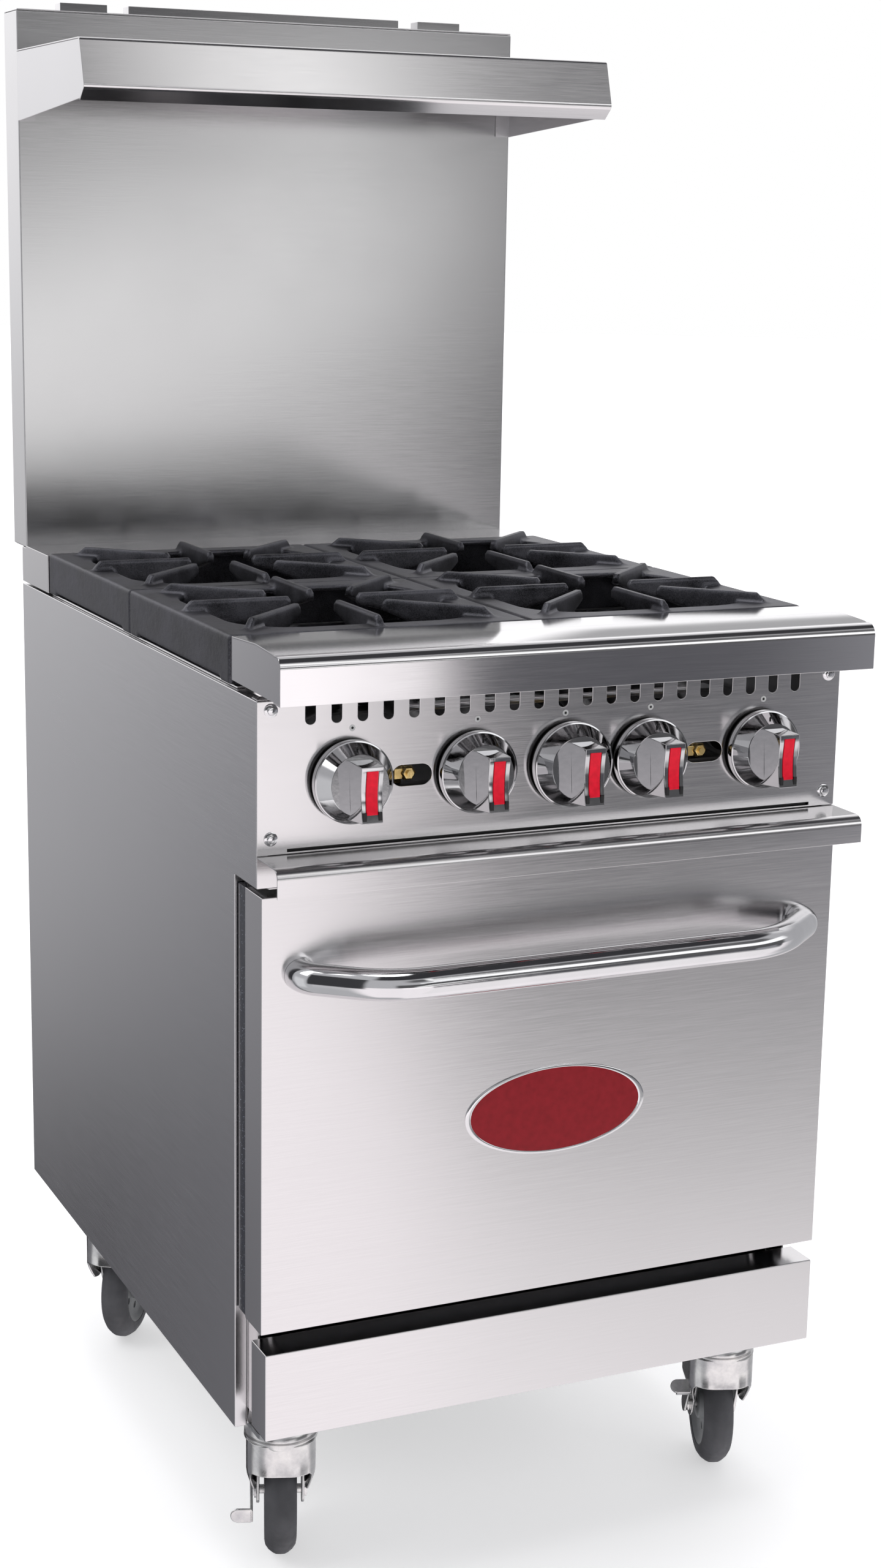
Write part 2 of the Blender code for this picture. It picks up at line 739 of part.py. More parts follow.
def burner_support():
    """Two flat bars across the body, tied by two straps, that carry the burners."""
    low = BURNER_TUBE_Z - BURNER_TUBE_RADIUS - 0.4 - 3
    bars = boxes([((-292, 292), (y - 14, y + 14), (low, low + 3)) for y in (GRATE_FRONT_Y, GRATE_REAR_Y)])
    for x in (-280, 280):
        unite(bars, box((x - 8, x + 8), (GRATE_FRONT_Y - 10, GRATE_REAR_Y + 10), (low + 0.5, low + 2.5)))
    node(bars, "burner_support", "galvanised_sheet")


def tray_support():
    """The sheet over the oven that the crumb tray slides on, with a folded edge along each side."""
    half = 291.0
    low = 722.0
    high = 742.0
    inner = half - SHEET
    profile = [(-half, high), (-half, low), (half, low), (half, high)]
    profile += [(inner, high), (inner, low + SHEET), (-inner, low + SHEET), (-inner, high)]
    support = prism([profile], "y", -284, 392)
    node(support, "tray_support", "galvanised_sheet")


def crumb_tray():
    """The pull-out tray; its front is a fascia with a landing ledge that serves as the handle."""
    top = 752.0
    lip_y = -423.8
    back_y = PANEL_FRONT_Y + SHEET
    bend = 10.0
    outer = [(back_y, top), (lip_y + bend, top)]
    outer += arc((lip_y + bend, top - bend), bend, 90, 180, 4)[1:]
    outer += [(lip_y, 725.5), (lip_y + SHEET, 725.5)]
    outer += arc((lip_y + bend, top - bend), bend - SHEET, 180, 90, 4)
    outer += [(PANEL_FRONT_Y, top - SHEET), (PANEL_FRONT_Y, STEP_Z + 0.5), (back_y, STEP_Z + 0.5)]
    tray = prism([outer], "x", -HALF_WIDTH, HALF_WIDTH)
    pan = box((-260, 260), (PANEL_FRONT_Y + 0.4, 395), (724, 748))
    cut(pan, box((-260 + SHEET, 260 - SHEET), (back_y, 395 - SHEET), (724 + SHEET, 760)))
    unite(tray, pan)
    node(tray, "crumb_tray", "stainless_brushed", origin=(0, PANEL_FRONT_Y, top))


# ---------------------------------------------------------------- oven


def oven_cavity():
    """The oven's liner: a box with rack guides, an open floor that the deck closes, and a flue duct at the
    back."""
    wall = 2.0
    half = CAVITY_HALF_WIDTH
    front = LOWER_FRONT_Y + 2.7
    shell_x = (-half - wall, half + wall)
    cavity = box(shell_x, (front, CAVITY_BACK_Y + wall), (CAVITY_FLOOR_Z - wall, CAVITY_TOP_Z + wall))
    flange_z = (CAVITY_FLOOR_Z - wall - 8, CAVITY_TOP_Z + wall + 12)
    unite(cavity, box((-half - 16, half + 16), (front, front + 1.5), flange_z))
    cut(cavity, box((-half, half), (front - 5, CAVITY_BACK_Y), (CAVITY_FLOOR_Z, CAVITY_TOP_Z)))
    floor_y = (front + 12, CAVITY_BACK_Y - 10)
    cut(cavity, box((-half + 10, half - 10), floor_y, (CAVITY_FLOOR_Z - 20, CAVITY_FLOOR_Z + 5)))
    neck_x = (NECK_X[0] - NECK_WALL, NECK_X[1] + NECK_WALL)
    neck_z = (NECK_Z[0] - NECK_WALL, NECK_Z[1] + NECK_WALL)
    unite(cavity, box(neck_x, (CAVITY_BACK_Y + 1, BODY_BACK_Y - 2.2), neck_z))
    cut(cavity, box(NECK_X, (CAVITY_BACK_Y - THROUGH, BODY_BACK_Y + THROUGH), NECK_Z))
    for sign in (-1, 1):
        guides = []
        for level in RACK_LEVELS_Z:
            guide_x = sorted((sign * (half + 1), sign * (half - 7.5)))
            guides.append((guide_x, (-285, CAVITY_BACK_Y - 6), (level - 3, level)))
        unite(cavity, boxes(guides))
    node(cavity, "oven_cavity", "enamel_oven")


def oven_deck():
    """The removable oven floor, with heat slots along both sides."""
    half = CAVITY_HALF_WIDTH - 0.5
    low = CAVITY_FLOOR_Z + 0.3
    deck = box((-half, half), (-306, CAVITY_BACK_Y - 0.5), (low, low + 2))
    slots = []
    for x in (-225, 225):
        for k in range(5):
            slots.append(obround((x, -200 + 100 * k), 60, 12, True, 2))
    cut(deck, prism(slots, "z", low - 5, low + 7))
    node(deck, "oven_deck", "enamel_oven")


def oven_rack(name, level):
    """A rack of bars: a closed frame, a cross bar and a row of thinner rods."""
    low = level + 0.3
    half = CAVITY_HALF_WIDTH - 1.5
    y = (-288, CAVITY_BACK_Y - 8)
    rack = box((-half, half), y, (low, low + 6))
    cut(rack, box((-half + 6, half - 6), (y[0] + 6, y[1] - 6), (low - 5, low + 10)))
    unite(rack, box((-half + 3, half - 3), (14, 20), (low + 0.5, low + 5.5)))
    rods = []
    for k in range(9):
        x = -208 + 52 * k
        rods.append(((x - 2, x + 2), (y[0] + 3, y[1] - 3), (low + 1.5, low + 5)))
    unite(rack, boxes(rods))
    node(rack, name, "wire_chrome")


def oven_burner():
    """A straight pipe burner under the deck, with a bell mouth at its front."""
    profile = [(0, -268), (22, -268), (22, -262), (14, -240), (14, -225), (20, -190)]
    profile += [(20, 230), (16, 240), (0, 240)]
    pipe = turned(profile, "y", (0, 0, 262), 14)
    foot_z = CASTER_PLATE_TOP_Z + 30
    legs = []
    feet = []
    for y in (-150, 180):
        legs.append(((-3, 3), (y, y + 20), (foot_z + 2, 250)))
        feet.append(((-215, 215), (y, y + 20), (foot_z, foot_z + 4)))
    unite(pipe, boxes(legs))
    unite(pipe, boxes(feet))
    node(pipe, "oven_burner", "cast_iron", smooth=True)


def hinge_axis_point(x=0.0):
    return (x, DOOR_HINGE_Y, DOOR_HINGE_Z)


def door_hinge_slots():
    """Clearance in the door's lower edge for the two hinge arms."""
    slots = []
    for x in (-HINGE_ARM_X, HINGE_ARM_X):
        slots.append(((x - 5, x + 5), (DOOR_HINGE_Y - 11, -300), (280, 335)))
    return boxes(slots)


def door_outer_panel():
    """The door's front: a folded tray, open at the back."""
    half = DOOR_HALF_WIDTH
    back = -334.5
    panel = box((-half, half), (DOOR_FRONT_Y, back), (DOOR_BOTTOM_Z, DOOR_TOP_Z))
    hollow_z = (DOOR_BOTTOM_Z + SHEET, DOOR_TOP_Z - SHEET)
    cut(panel, box((-half + SHEET, half - SHEET), (DOOR_FRONT_Y + SHEET, back + 10), hollow_z))
    cut(panel, door_hinge_slots())
    node(panel, "door_outer_panel", "stainless_brushed", origin=hinge_axis_point())


def door_inner_panel():
    """The door's liner: a folded tray with a raised middle that faces the oven."""
    half = DOOR_HALF_WIDTH - 1
    front = -334.2
    low = DOOR_BOTTOM_Z + 1
    high = DOOR_TOP_Z - 1
    panel = box((-half, half), (front, DOOR_BACK_Y), (low, high))
    hollow_z = (low + SHEET, high - SHEET)
    cut(panel, box((-half + SHEET, half - SHEET), (front - 10, DOOR_BACK_Y - SHEET), hollow_z))
    cut(panel, door_hinge_slots())
    node(panel, "door_inner_panel", "enamel_oven", origin=hinge_axis_point())


def door_insulation():
    """The slab between the door's two panels."""
    slab = box((-294, 294), (DOOR_FRONT_Y + 3, DOOR_BACK_Y - 3), (345, 705))
    node(slab, "door_insulation", "insulation", origin=hinge_axis_point())


def door_handle():
    """A bent tube, cut flush against the door's face."""
    end_y = DOOR_FRONT_Y - 0.3
    corners = [
        (-HANDLE_END_X, end_y, HANDLE_Z),
        (-HANDLE_BAR_HALF, HANDLE_BAR_Y, HANDLE_Z),
        (HANDLE_BAR_HALF, HANDLE_BAR_Y, HANDLE_Z),
        (HANDLE_END_X, end_y, HANDLE_Z),
    ]
    bar = tube(rounded_route(corners, 26, 5), HANDLE_RADIUS, 16, Vector((0, 1, 0)))
    node(bar, "door_handle", "chrome", origin=hinge_axis_point(), smooth=True)


# ---------------------------------------------------------------- flue and shelf


def flue_collector():
    """The box behind the body that leads the oven's flue gas up into the riser."""
    y = (BODY_BACK_Y + 0.4, RISER_BACK_Y - 1.3)
    half = COLLECTOR_HALF_WIDTH
    bottom_z = COLLECTOR_BOTTOM_Z
    collector = box((-half, half), y, (bottom_z, RISER_BOTTOM_Z - 0.5))
    inner_y = (y[0] + SHEET, y[1] - SHEET)
    cut(collector, box((-half + SHEET, half - SHEET), inner_y, (bottom_z + SHEET, RISER_BOTTOM_Z + 10)))
    cut(collector, box(NECK_X, (y[0] - THROUGH, y[0] + THROUGH), NECK_Z))
    node(collector, "flue_collector", "galvanised_sheet")


def flue_riser():
    """The tall hollow backguard."""
    half = RISER_HALF_WIDTH
    riser = box((-half, half), (RISER_FRONT_Y, RISER_BACK_Y), (RISER_BOTTOM_Z, RISER_TOP_Z))
    inner_y = (RISER_FRONT_Y + SHEET, RISER_BACK_Y - SHEET)
    cut(riser, box((-half + SHEET, half - SHEET), inner_y, (RISER_BOTTOM_Z - 10, RISER_TOP_Z + 10)))
    node(riser, "flue_riser", "stainless_brushed")


def flue_cap():
    """The cover of the riser, with three low hoods that are open to the back."""
    low = RISER_TOP_Z + GAP
    half = RISER_HALF_WIDTH - 0.5
    front = 430.0
    back = 451.0
    cap = box((-half, half), (RISER_FRONT_Y + 0.4, RISER_BACK_Y - 0.2), (low, low + SHEET))
    for left, right in ((-247, -192), (-167, 167), (192, 247)):
        vent_y = (front + 4, back - 1)
        cut(cap, box((left + 3, right - 3), vent_y, (low - THROUGH, low + THROUGH)))
        hood = box((left, right), (front, back), (low + 0.5, CAP_TOP_Z))
        hollow_y = (front + SHEET, back + THROUGH)
        cut(hood, box((left + SHEET, right - SHEET), hollow_y, (low - THROUGH, CAP_TOP_Z - SHEET)))
        unite(cap, hood)
    node(cap, "flue_cap", "stainless_polished")


def high_shelf():
    """The shelf: a flat sheet whose front edge folds down and back under itself."""
    points = [
        (RISER_FRONT_Y - 0.4, SHELF_TOP_Z),
        (SHELF_FRONT_Y, SHELF_TOP_Z),
        (142, 1441),
        (158, 1428),
    ]
    shelf = prism([bent_sheet(points)], "x", -HALF_WIDTH, HALF_WIDTH)
    node(shelf, "high_shelf", "stainless_brushed")


def shelf_bracket(sign):
    """The tapered end plate under the shelf, with a small foot screwed to the riser."""
    back = RISER_FRONT_Y - 0.4
    under = SHELF_TOP_Z - SHEET - 0.4
    outline = [(back, 1415), (back, under), (SHELF_FRONT_Y + 1.5, under), (144.8, 1441.5), (159, 1430.6)]
    outer = HALF_WIDTH - 0.6
    plate = prism([outline[::-1]], "x", *sorted((sign * outer, sign * (outer - SHEET))))
    foot = box(sorted((sign * outer, sign * (outer - 19))), (back - 2, back), (1415, 1440))
    unite(plate, foot)
    node(plate, f"shelf_bracket_{side_name(sign)}", "stainless_brushed")


# ---------------------------------------------------------------- casters


def caster(name, x, y, swivel, brake=None):
    """A swivel caster under its plate: a fork, a wheel and, in front, a brake lever."""
    raceway = [(0, 137), (31, 137), (36.5, 141), (36.5, 150), (33, 157), (26, 158.6), (0, 158.6)]
    cup = turned(raceway, "z", (0, 0, 0), 18)
    yoke = [(-37, 140.5), (-37, 128), (6, 88), (TRAIL - 13, 58), (TRAIL - 8, 51), (TRAIL + 8, 51)]
    yoke += [(TRAIL + 13, 58), (TRAIL + 12, 76), (37, 128), (37, 140.5)]
    yoke = yoke[::-1]
    body = prism([yoke], "x", -24, 24)
    cut(body, box((-21, 21), (-60, 90), (30, 137.5)))
    unite(cup, body)
    cut(cup, cylinder(6.6, 120, 175, "z", (0, 0, 0), 14))
    axle_left = -27 if brake is None else -33
    unite(cup, cylinder(AXLE_RADIUS, axle_left, 27, "x", (0, TRAIL, WHEEL_RADIUS), 12))
    fork = node(cup, f"caster_fork_{name}", "caster_zinc", smooth=True)
    fork.location = (x * METRE, y * METRE, 0)
    fork.rotation_euler = (0, 0, -math.radians(swivel))

    half = WHEEL_HALF_WIDTH
    bore = AXLE_RADIUS + 0.6
    flank = [(bore, -half + 1), (46, -half + 1), (52, -half), (60, -half + 5), (WHEEL_RADIUS, -4)]
    profile = flank + [(radius, -height) for radius, height in reversed(flank)]
    wheel = turned(profile + profile[:1], "x", (0, 0, 0), 24)
    wheel = node(wheel, f"caster_wheel_{name}", "caster_rubber", smooth=True)
    wheel.parent = fork
    wheel.location = (0, TRAIL * METRE, WHEEL_RADIUS * METRE)

    if brake is None:
        return
    pedal = box((-50, -27.5), (-44, -36), (-8, 8))
    unite(pedal, box((-30.5, -27.5), (-44, 9), (-8, 8)))
    cut(pedal, cylinder(AXLE_RADIUS + 0.4, -60, 10, "x", (0, 0, 0), 16))
    lever = node(pedal, f"brake_lever_{name}", "caster_zinc")
    lever.parent = fork
    lever.location = (0, TRAIL * METRE, WHEEL_RADIUS * METRE)
    lever.rotation_euler = (-math.radians(brake), 0, 0)


# ---------------------------------------------------------------- assembly


def build():
    clear_scene()
    for sign in (-1, 1):
        side_panel(sign)
        shelf_bracket(sign)
    front_frame()
    back_panel()
    base_frame()
    kick_plate()
    control_panel()
    manifold_pipe()
    oven_gas_pipe()
    oven_thermostat()
    for sign, x in zip((-1, 1), PILOT_X):
        pilot_valve(sign, x)
    for k, x in enumerate(BURNER_KNOBS_X, 1):
        burner_valve(f"burner_valve_{k}", x)
        knob(f"burner_knob_{k}", x, KNOB_RADIUS)
    knob("thermostat_knob", THERMOSTAT_X, THERMOSTAT_KNOB_RADIUS)
    cooktop_frame()
    front_rail()
    rear_strip()
    places = (
        ("front_left", -GRATE_X, GRATE_FRONT_Y, BURNER_KNOBS_X[0]),
        ("rear_left", -GRATE_X, GRATE_REAR_Y, BURNER_KNOBS_X[1]),
        ("rear_right", GRATE_X, GRATE_REAR_Y, BURNER_KNOBS_X[2]),
        ("front_right", GRATE_X, GRATE_FRONT_Y, BURNER_KNOBS_X[3]),
    )
    for name, x, y, valve_x in places:
        grate(f"grate_{name}", x, y)
        burner(f"burner_{name}", x, y, valve_x)
    burner_support()
    tray_support()
    crumb_tray()
    oven_cavity()
    oven_deck()
    for name, level in zip(("lower", "upper"), RACKS_Z):
        oven_rack(f"oven_rack_{name}", level)
    oven_burner()
    door_outer_panel()
    door_inner_panel()
    door_insulation()
    door_handle()
    flue_collector()
    flue_riser()
    flue_cap()
    high_shelf()
    caster("front_left", -CASTER_X, CASTER_FRONT_Y, 20, brake=-8)
    caster("front_right", CASTER_X, CASTER_FRONT_Y, 20, brake=50)
    caster("rear_left", -CASTER_X, CASTER_REAR_Y, 35)
    caster("rear_right", CASTER_X, CASTER_REAR_Y, 10)


build()
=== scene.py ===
"""Looks for the commercial gas range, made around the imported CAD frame.

X runs to the right, Y to the back and Z up. Lengths are in millimetres until a mesh is made.
"""

import json
import math
from functools import partial

import bmesh
import bpy
from mathutils import Matrix, Vector


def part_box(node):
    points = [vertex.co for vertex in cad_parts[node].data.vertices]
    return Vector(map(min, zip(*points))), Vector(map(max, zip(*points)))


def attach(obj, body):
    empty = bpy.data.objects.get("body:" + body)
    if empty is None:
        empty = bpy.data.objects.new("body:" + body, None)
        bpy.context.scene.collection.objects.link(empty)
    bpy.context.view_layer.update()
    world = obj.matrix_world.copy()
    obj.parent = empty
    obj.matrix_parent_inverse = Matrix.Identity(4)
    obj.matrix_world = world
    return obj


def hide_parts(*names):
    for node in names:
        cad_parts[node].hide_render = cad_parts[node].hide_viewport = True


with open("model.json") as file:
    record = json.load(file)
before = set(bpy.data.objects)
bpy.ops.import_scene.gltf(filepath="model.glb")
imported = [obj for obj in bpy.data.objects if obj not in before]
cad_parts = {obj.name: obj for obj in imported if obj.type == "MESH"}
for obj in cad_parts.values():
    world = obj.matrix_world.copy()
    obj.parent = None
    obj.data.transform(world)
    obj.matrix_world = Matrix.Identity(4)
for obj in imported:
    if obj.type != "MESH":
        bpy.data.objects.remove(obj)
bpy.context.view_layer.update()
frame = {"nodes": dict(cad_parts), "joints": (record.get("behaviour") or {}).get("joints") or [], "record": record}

METRE = 0.001
SHEET = 1.5
BODY_OF = {}
for body, members in frame["record"]["behaviour"]["bodies"].items():
    for member in members:
        BODY_OF[member] = body


def limits(node):
    """The lowest and highest corners of a CAD node, in millimetres."""
    low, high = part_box(node)
    return low / METRE, high / METRE


# ---- shapes


def linked(data, name):
    """An object in the scene that shows a mesh or looks through a camera."""
    made = bpy.data.objects.new(name, data)
    bpy.context.scene.collection.objects.link(made)
    return made


def shown(bm, name="shape"):
    """A finished mesh as an object."""
    mesh = bpy.data.meshes.new(name)
    bm.to_mesh(mesh)
    bm.free()
    return linked(mesh, name)


def to_object(bm, name="shape"):
    """A mesh in millimetres as an object in metres."""
    bmesh.ops.scale(bm, vec=(METRE, METRE, METRE), verts=bm.verts)
    bmesh.ops.recalc_face_normals(bm, faces=bm.faces)
    return shown(bm, name)


def prism(outlines, axis, low, high):
    """Each closed outline extruded along an axis. Outline points are (y, z), (x, z) or (x, y)."""
    bm = bmesh.new()
    for outline in outlines:
        base = []
        for a, b in outline:
            base.append(bm.verts.new({"x": (low, a, b), "y": (a, low, b), "z": (a, b, low)}[axis]))
        face = bm.faces.new(base)
        grown = bmesh.ops.extrude_face_region(bm, geom=[face])
        tops = [item for item in grown["geom"] if isinstance(item, bmesh.types.BMVert)]
        travel = {"x": (high - low, 0, 0), "y": (0, high - low, 0), "z": (0, 0, high - low)}[axis]
        bmesh.ops.translate(bm, vec=travel, verts=tops)
    return to_object(bm)


def box(x, y, z):
    outline = [(y[0], z[0]), (y[1], z[0]), (y[1], z[1]), (y[0], z[1])]
    return prism([outline], "x", min(x), max(x))


def turned(profile, axis="z", centre=(0, 0, 0), sides=48):
    """A profile of (radius, height) points spun about an axis. A profile that doesn't start on the axis
    is closed into a ring."""
    bm = bmesh.new()
    rings = []
    for radius, height in profile:
        if radius == 0:
            rings.append([bm.verts.new((0, 0, height))])
            continue
        ring = []
        for k in range(sides):
            angle = 2 * math.pi * k / sides
            ring.append(bm.verts.new((radius * math.cos(angle), radius * math.sin(angle), height)))
        rings.append(ring)
    if profile[0][0] > 0:
        rings.append(rings[0])
    for lower, upper in zip(rings, rings[1:]):
        for k in range(sides):
            following = (k + 1) % sides
            corners = [lower[k % len(lower)], lower[following % len(lower)]]
            corners += [upper[following % len(upper)], upper[k % len(upper)]]
            bm.faces.new(list(dict.fromkeys(corners)))
    angle, about = {"z": (0, "Z"), "y": (-90, "X"), "x": (90, "Y")}[axis]
    turn = Matrix.Rotation(math.radians(angle), 4, about)
    bmesh.ops.transform(bm, matrix=Matrix.Translation(centre) @ turn, verts=bm.verts)
    return to_object(bm)


def cylinder(radius, low, high, axis, centre, sides=32):
    return turned([(0, low), (radius, low), (radius, high), (0, high)], axis, centre, sides)


def rounded_route(corners, bend, steps=10):
    """Straight runs through the corners, with each inner corner replaced by a smooth bend."""
    corners = [Vector(point) for point in corners]
    route = [corners[0]]
    for before, corner, after in zip(corners, corners[1:], corners[2:]):
        reach = min(bend, 0.95 * (before - corner).length, 0.95 * (after - corner).length)
        start = corner + (before - corner).normalized() * reach
        end = corner + (after - corner).normalized() * reach
        for k in range(steps + 1):
            t = k / steps
            route.append(start * (1 - t) ** 2 + corner * 2 * t * (1 - t) + end * t**2)
    route.append(corners[-1])
    return route


def lofted(rings):
    """A closed skin through rings of points, capped at both ends."""
    bm = bmesh.new()
    rings = [[bm.verts.new(point) for point in ring] for ring in rings]
    for lower, upper in zip(rings, rings[1:]):
        for k in range(len(lower)):
            following = (k + 1) % len(lower)
            bm.faces.new((lower[k], lower[following], upper[following], upper[k]))
    bm.faces.new(rings[0])
    bm.faces.new(rings[-1])
    return to_object(bm)


def tube(route, radius, sides=24, end_normal=None):
    """A round bar swept along a route. With end_normal, both ends are cut flat across that direction."""
    tangents = []
    for k in range(len(route)):
        ahead = route[min(k + 1, len(route) - 1)] - route[max(k - 1, 0)]
        tangents.append(ahead.normalized())
    side = tangents[0].orthogonal().normalized()
    rings = []
    for k, (point, tangent) in enumerate(zip(route, tangents)):
        side = (side - tangent * side.dot(tangent)).normalized()
        across = tangent.cross(side)
        ring = []
        for j in range(sides):
            angle = 2 * math.pi * j / sides
            offset = (side * math.cos(angle) + across * math.sin(angle)) * radius
            if end_normal and k in (0, len(route) - 1):
                offset -= tangent * (offset.dot(end_normal) / tangent.dot(end_normal))
            ring.append(point + offset)
        rings.append(ring)
    return lofted(rings)


def filleted(points, radius, steps=6):
    """An open line of flat points with its inner corners rounded."""
    flat = rounded_route([(a, b, 0) for a, b in points], radius, steps)
    return [(point.x, point.y) for point in flat]


def bent_sheet(points):
    """The closed outline of a sheet that follows the points, thickened to their left."""
    points = [Vector(point) for point in points]
    runs = [(end - start).normalized() for start, end in zip(points, points[1:])]
    sides = [Vector((-run.y, run.x)) for run in runs]
    far = []
    for point, before, after in zip(points, sides[:1] + sides, sides + sides[-1:]):
        middle = (before + after).normalized()
        far.append(point + middle * (SHEET / middle.dot(before)))
    return points + far[::-1]


def arc(centre, radius, start, end, steps):
    """Points on a circle, from a start angle to an end angle in degrees."""
    angles = [math.radians(start + (end - start) * k / steps) for k in range(steps + 1)]
    return [(centre[0] + radius * math.cos(a), centre[1] + radius * math.sin(a)) for a in angles]


def obround(centre, length, width, upright, steps=10):
    """A slot outline with round ends, lying along the first or the second coordinate."""
    reach = (length - width) / 2
    turn = 90 if upright else 0
    points = []
    for facing in (turn, turn + 180):
        aim = math.radians(facing)
        middle = (centre[0] + reach * math.cos(aim), centre[1] + reach * math.sin(aim))
        points += arc(middle, width / 2, facing - 90, facing + 90, steps)
    return points


def rounded_rectangle(centre, half_x, half_y, radius, steps=8):
    points = []
    for sign_x, sign_y, start in ((1, 1, 0), (-1, 1, 90), (-1, -1, 180), (1, -1, 270)):
        middle = (centre[0] + sign_x * (half_x - radius), centre[1] + sign_y * (half_y - radius))
        points += arc(middle, radius, start, start + 90, steps)
    return points


# ---- working on objects


def baked(made):
    """Turns an object's modifiers into its mesh."""
    graph = bpy.context.evaluated_depsgraph_get()
    mesh = bpy.data.meshes.new_from_object(made.evaluated_get(graph), depsgraph=graph)
    made.modifiers.clear()
    made.data = mesh
    return made


def cut(target, tool):
    """Takes one object out of another, and removes the tool."""
    modifier = target.modifiers.new("cut", "BOOLEAN")
    modifier.operation = "DIFFERENCE"
    modifier.object = tool
    modifier.solver = "EXACT"
    baked(target)
    bpy.data.objects.remove(tool)
    return target


def merged(*parts):
    """Several objects as one, without joining their surfaces."""
    bm = bmesh.new()
    for part in parts:
        bm.from_mesh(part.data)
        bpy.data.objects.remove(part)
    return shown(bm)


def cleaned(made):
    """Merges coplanar faces, so that edges can be rounded evenly."""
    bm = bmesh.new()
    bm.from_mesh(made.data)
    bmesh.ops.remove_doubles(bm, verts=bm.verts, dist=1e-5)
    bmesh.ops.dissolve_limit(bm, angle_limit=math.radians(0.6), verts=bm.verts, edges=bm.edges)
    bm.to_mesh(made.data)
    bm.free()
    return made


def rounded(made, width, segments=2, angle=28):
    """Rounds the edges that are sharper than an angle."""
    cleaned(made)
    modifier = made.modifiers.new("round", "BEVEL")
    modifier.width = width * METRE
    modifier.segments = segments
    modifier.limit_method = "ANGLE"
    modifier.angle_limit = math.radians(angle)
    return baked(made)


def smooth(made, angle=32):
    """Smooth shading that keeps large faces flat and creases sharper than an angle."""
    made.data.shade_smooth()
    made.data.set_sharp_from_angle(angle=math.radians(angle))
    modifier = made.modifiers.new("flat_faces", "WEIGHTED_NORMAL")
    modifier.mode = "FACE_AREA"
    modifier.weight = 90
    modifier.keep_sharp = True
    return made


def moved(made, matrix):
    """Moves a shape by a matrix whose lengths are in millimetres."""
    matrix = matrix.copy()
    matrix.translation = matrix.translation * METRE
    made.data.transform(matrix)
    return made


def copied(node):
    """A fresh copy of a CAD node's mesh."""
    bm = bmesh.new()
    bm.from_mesh(frame["nodes"][node].data)
    bmesh.ops.remove_doubles(bm, verts=bm.verts, dist=1e-5)
    return shown(bm)


def piece(made, name, finish, body="root"):
    """Names a finished shape, paints it, and lets it ride on a body."""
    made.name = name
    made.data.name = name
    made.data.materials.clear()
    made.data.materials.append(finish)
    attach(made, body)


def stand_in(made, name, finish, node):
    """A piece that replaces a CAD node, on the node's own body; the node itself is hidden."""
    piece(made, name, finish, BODY_OF[node])
    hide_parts(node)


# ---- finishes


def feed(tree, socket, given):
    """Gives a socket a number, a vector or a colour, or links it to another node's result."""
    if isinstance(given, bpy.types.NodeSocket):
        tree.links.new(given, socket)
    else:
        socket.default_value = (*given, 1) if socket.type == "RGBA" else given


def math_node(tree, operation, a, b=0):
    """The result of a sum whose terms are numbers or other nodes' results."""
    node = tree.nodes.new("ShaderNodeMath")
    node.operation = operation
    for socket, given in zip(node.inputs, (a, b)):
        feed(tree, socket, given)
    return node.outputs[0]


def mixed(tree, factor, first, second):
    """A colour between two, by a factor from 0 to 1."""
    node = tree.nodes.new("ShaderNodeMix")
    node.data_type = "RGBA"
    for name, given in (("Factor", factor), ("A", first), ("B", second)):
        feed(tree, node.inputs[name], given)
    return node.outputs["Result"]


def scaled(colour, factor):
    return tuple(value * factor for value in colour)


